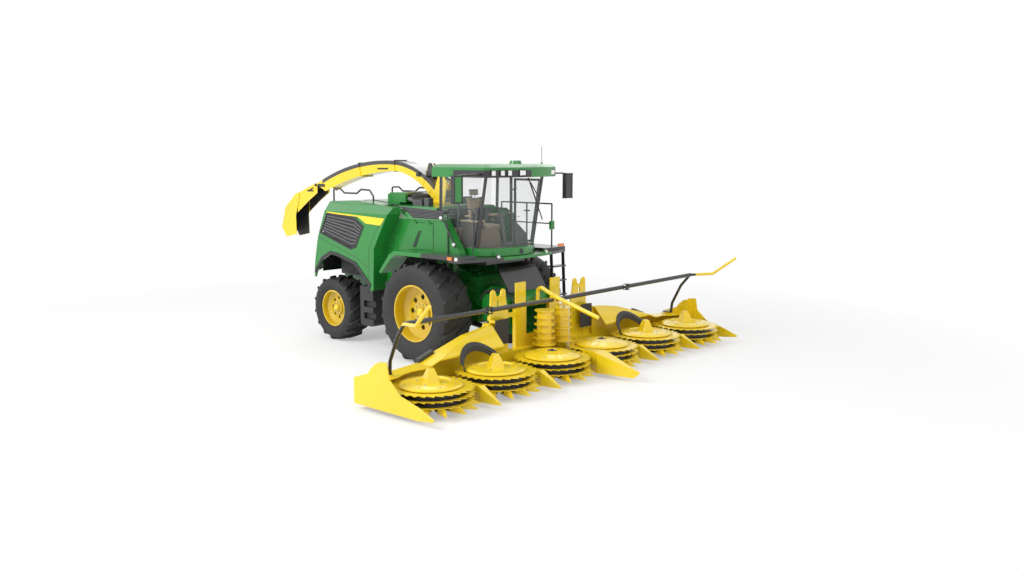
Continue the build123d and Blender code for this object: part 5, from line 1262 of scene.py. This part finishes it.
class HARVESTER_OT_header_fittings(bpy.types.Operator):
    """Rotor bolts and caps, cowl seals, stop plates, hoses and bolts of the header"""
    bl_idname = "harvester.header_fittings"
    bl_label = "Header fittings"

    def execute(self, context):
        for place, y in ROTORS:
            for side, hand in SIDES:
                rotor_bolts(place, side, hand * y)
        for side, hand in SIDES:
            for make in (cowl_seal, wing_stops, cowl_bolts, feeder_hoses):
                make(side, hand)
        post_bolts()
        return {"FINISHED"}


# Stage
FLOOR_NEAR, FLOOR_FADE = 7.0, 6.0
LAMPS = (
    # name, place, power, side
    ("key_lamp", (-2.0, -13.0, 10.0), 1500.0, 7.0),
    ("front_lamp", (12.0, -3.0, 9.0), 350.0, 8.0),
    ("back_lamp", (-6.0, 9.0, 12.0), 400.0, 8.0),
)
LAMP_TARGET = Vector((0, 0, 1.5))
CAMERA_PLACE = (14.7524, -13.4605, 4.0345)


def look(thing, direction):
    """Turns a lamp or the camera to a direction."""
    thing.rotation_mode = "QUATERNION"
    thing.rotation_quaternion = direction.to_track_quat("-Z", "Y")


def studio_floor(scene, size):
    """A pale floor that takes shadows and fades to white further off."""
    mesh = bpy.data.meshes.new("studio_floor")
    form = bmesh.new()
    bmesh.ops.create_grid(form, x_segments=1, y_segments=1, size=size)
    form.to_mesh(mesh)
    form.free()
    floor = bpy.data.objects.new("studio_floor", mesh)
    scene.collection.objects.link(floor)
    paint = Paint("studio_white", (0.85, 0.85, 0.85), 0.9)
    paint.set("Specular IOR Level", 0.0)
    x, y, _ = paint.axes()
    far = (((x * x + y * y).root() - FLOOR_NEAR) / FLOOR_FADE).most(0.0).least(1.0)
    bare = paint.node("ShaderNodeEmission", None, {"Color": (1.0, 1.0, 1.0), "Strength": 1.0})
    whole = paint.node("ShaderNodeMixShader", None, {
        0: paint.seen() * (far * 0.62 + 0.38), 1: Value(paint, paint.shader.outputs[0]), 2: bare})
    paint.feed(paint.tree.nodes["Material Output"].inputs["Surface"], whole)
    mesh.materials.append(paint.material)


def studio_sky(scene, strength):
    """A soft light all round, behind a plain white background."""
    world = bpy.data.worlds.new("studio_sky")
    scene.world = world
    world.use_nodes = True
    sky = Tree(world.node_tree)
    light = sky.tree.nodes["Background"].inputs
    sky.feed(light["Strength"],
             sky.node("ShaderNodeMix", {"data_type": "FLOAT"}, {0: sky.seen(), 2: strength, 3: 1.0}))
    sky.feed(light["Color"], (1.0, 1.0, 1.0))


def studio_lamps(scene):
    """Three large square lamps, all turned to the machine."""
    for name, place, power, side in LAMPS:
        light = bpy.data.lights.new(name, "AREA")
        light.energy = power
        light.size = side
        lamp = bpy.data.objects.new(name, light)
        scene.collection.objects.link(lamp)
        lamp.location = place
        look(lamp, LAMP_TARGET - Vector(place))


def photo_camera(scene, sizes):
    """The camera, where the photo was taken from."""
    view = bpy.data.cameras.new("photo_camera")
    view.lens = sizes.lens
    view.sensor_width = 36.0
    view.clip_end = 200.0
    camera = bpy.data.objects.new("photo_camera", view)
    scene.collection.objects.link(camera)
    camera.location = CAMERA_PLACE
    yaw, pitch = sizes.yaw, sizes.pitch
    look(camera, Vector((math.cos(yaw) * math.cos(pitch), math.sin(yaw) * math.cos(pitch),
                         math.sin(pitch))))
    scene.camera = camera


class HARVESTER_OT_stage(bpy.types.Operator):
    """Builds the pale floor, the soft lamps and the camera"""
    bl_idname = "harvester.stage"
    bl_label = "Stage"

    def execute(self, context):
        scene = context.scene
        scene.view_settings.view_transform = "Standard"
        sizes = scene.harvester_stage
        studio_floor(scene, sizes.floor)
        studio_sky(scene, sizes.sky_light)
        studio_lamps(scene)
        photo_camera(scene, sizes)
        return {"FINISHED"}


class StageSizes(bpy.types.PropertyGroup):
    """What a user may change on the stage"""
    floor: bpy.props.FloatProperty(name="Floor", description="Half the floor's side", default=60.0,
                                   unit="LENGTH")
    sky_light: bpy.props.FloatProperty(name="Sky light", description="Strength of the soft light all round",
                                       default=0.75)
    lens: bpy.props.FloatProperty(name="Lens", description="Focal length in millimetres", default=32.45)
    yaw: bpy.props.FloatProperty(name="Yaw", description="Direction the camera looks in", default=2.3162,
                                 subtype="ANGLE")
    pitch: bpy.props.FloatProperty(name="Pitch", description="Tilt of the camera", default=-0.1408,
                                   subtype="ANGLE")


class HARVESTER_PT_panel(bpy.types.Panel):
    """Lists the operators that dress the machine"""
    bl_label = "Forage harvester"
    bl_idname = "HARVESTER_PT_panel"
    bl_space_type = "VIEW_3D"
    bl_region_type = "UI"
    bl_category = "Harvester"

    def draw(self, context):
        for operator in OPERATORS:
            self.layout.operator(operator.bl_idname)


OPERATORS = (HARVESTER_OT_stage, HARVESTER_OT_finishes, HARVESTER_OT_tyres, HARVESTER_OT_wheel_fittings,
             HARVESTER_OT_hood, HARVESTER_OT_engine_parts, HARVESTER_OT_spout_fittings,
             HARVESTER_OT_cab_fittings, HARVESTER_OT_seat, HARVESTER_OT_header_fittings)
CLASSES = (HarvesterColours, StageSizes, *OPERATORS, HARVESTER_PT_panel)


def register():
    for item in CLASSES:
        bpy.utils.register_class(item)
    bpy.types.Scene.harvester_colours = bpy.props.PointerProperty(type=HarvesterColours)
    bpy.types.Scene.harvester_stage = bpy.props.PointerProperty(type=StageSizes)


def unregister():
    del bpy.types.Scene.harvester_stage
    del bpy.types.Scene.harvester_colours
    for item in reversed(CLASSES):
        bpy.utils.unregister_class(item)


def main():
    register()
    for operator in OPERATORS:
        group, name = operator.bl_idname.split(".")
        getattr(getattr(bpy.ops, group), name)()


if __name__ == "__main__":
    main()
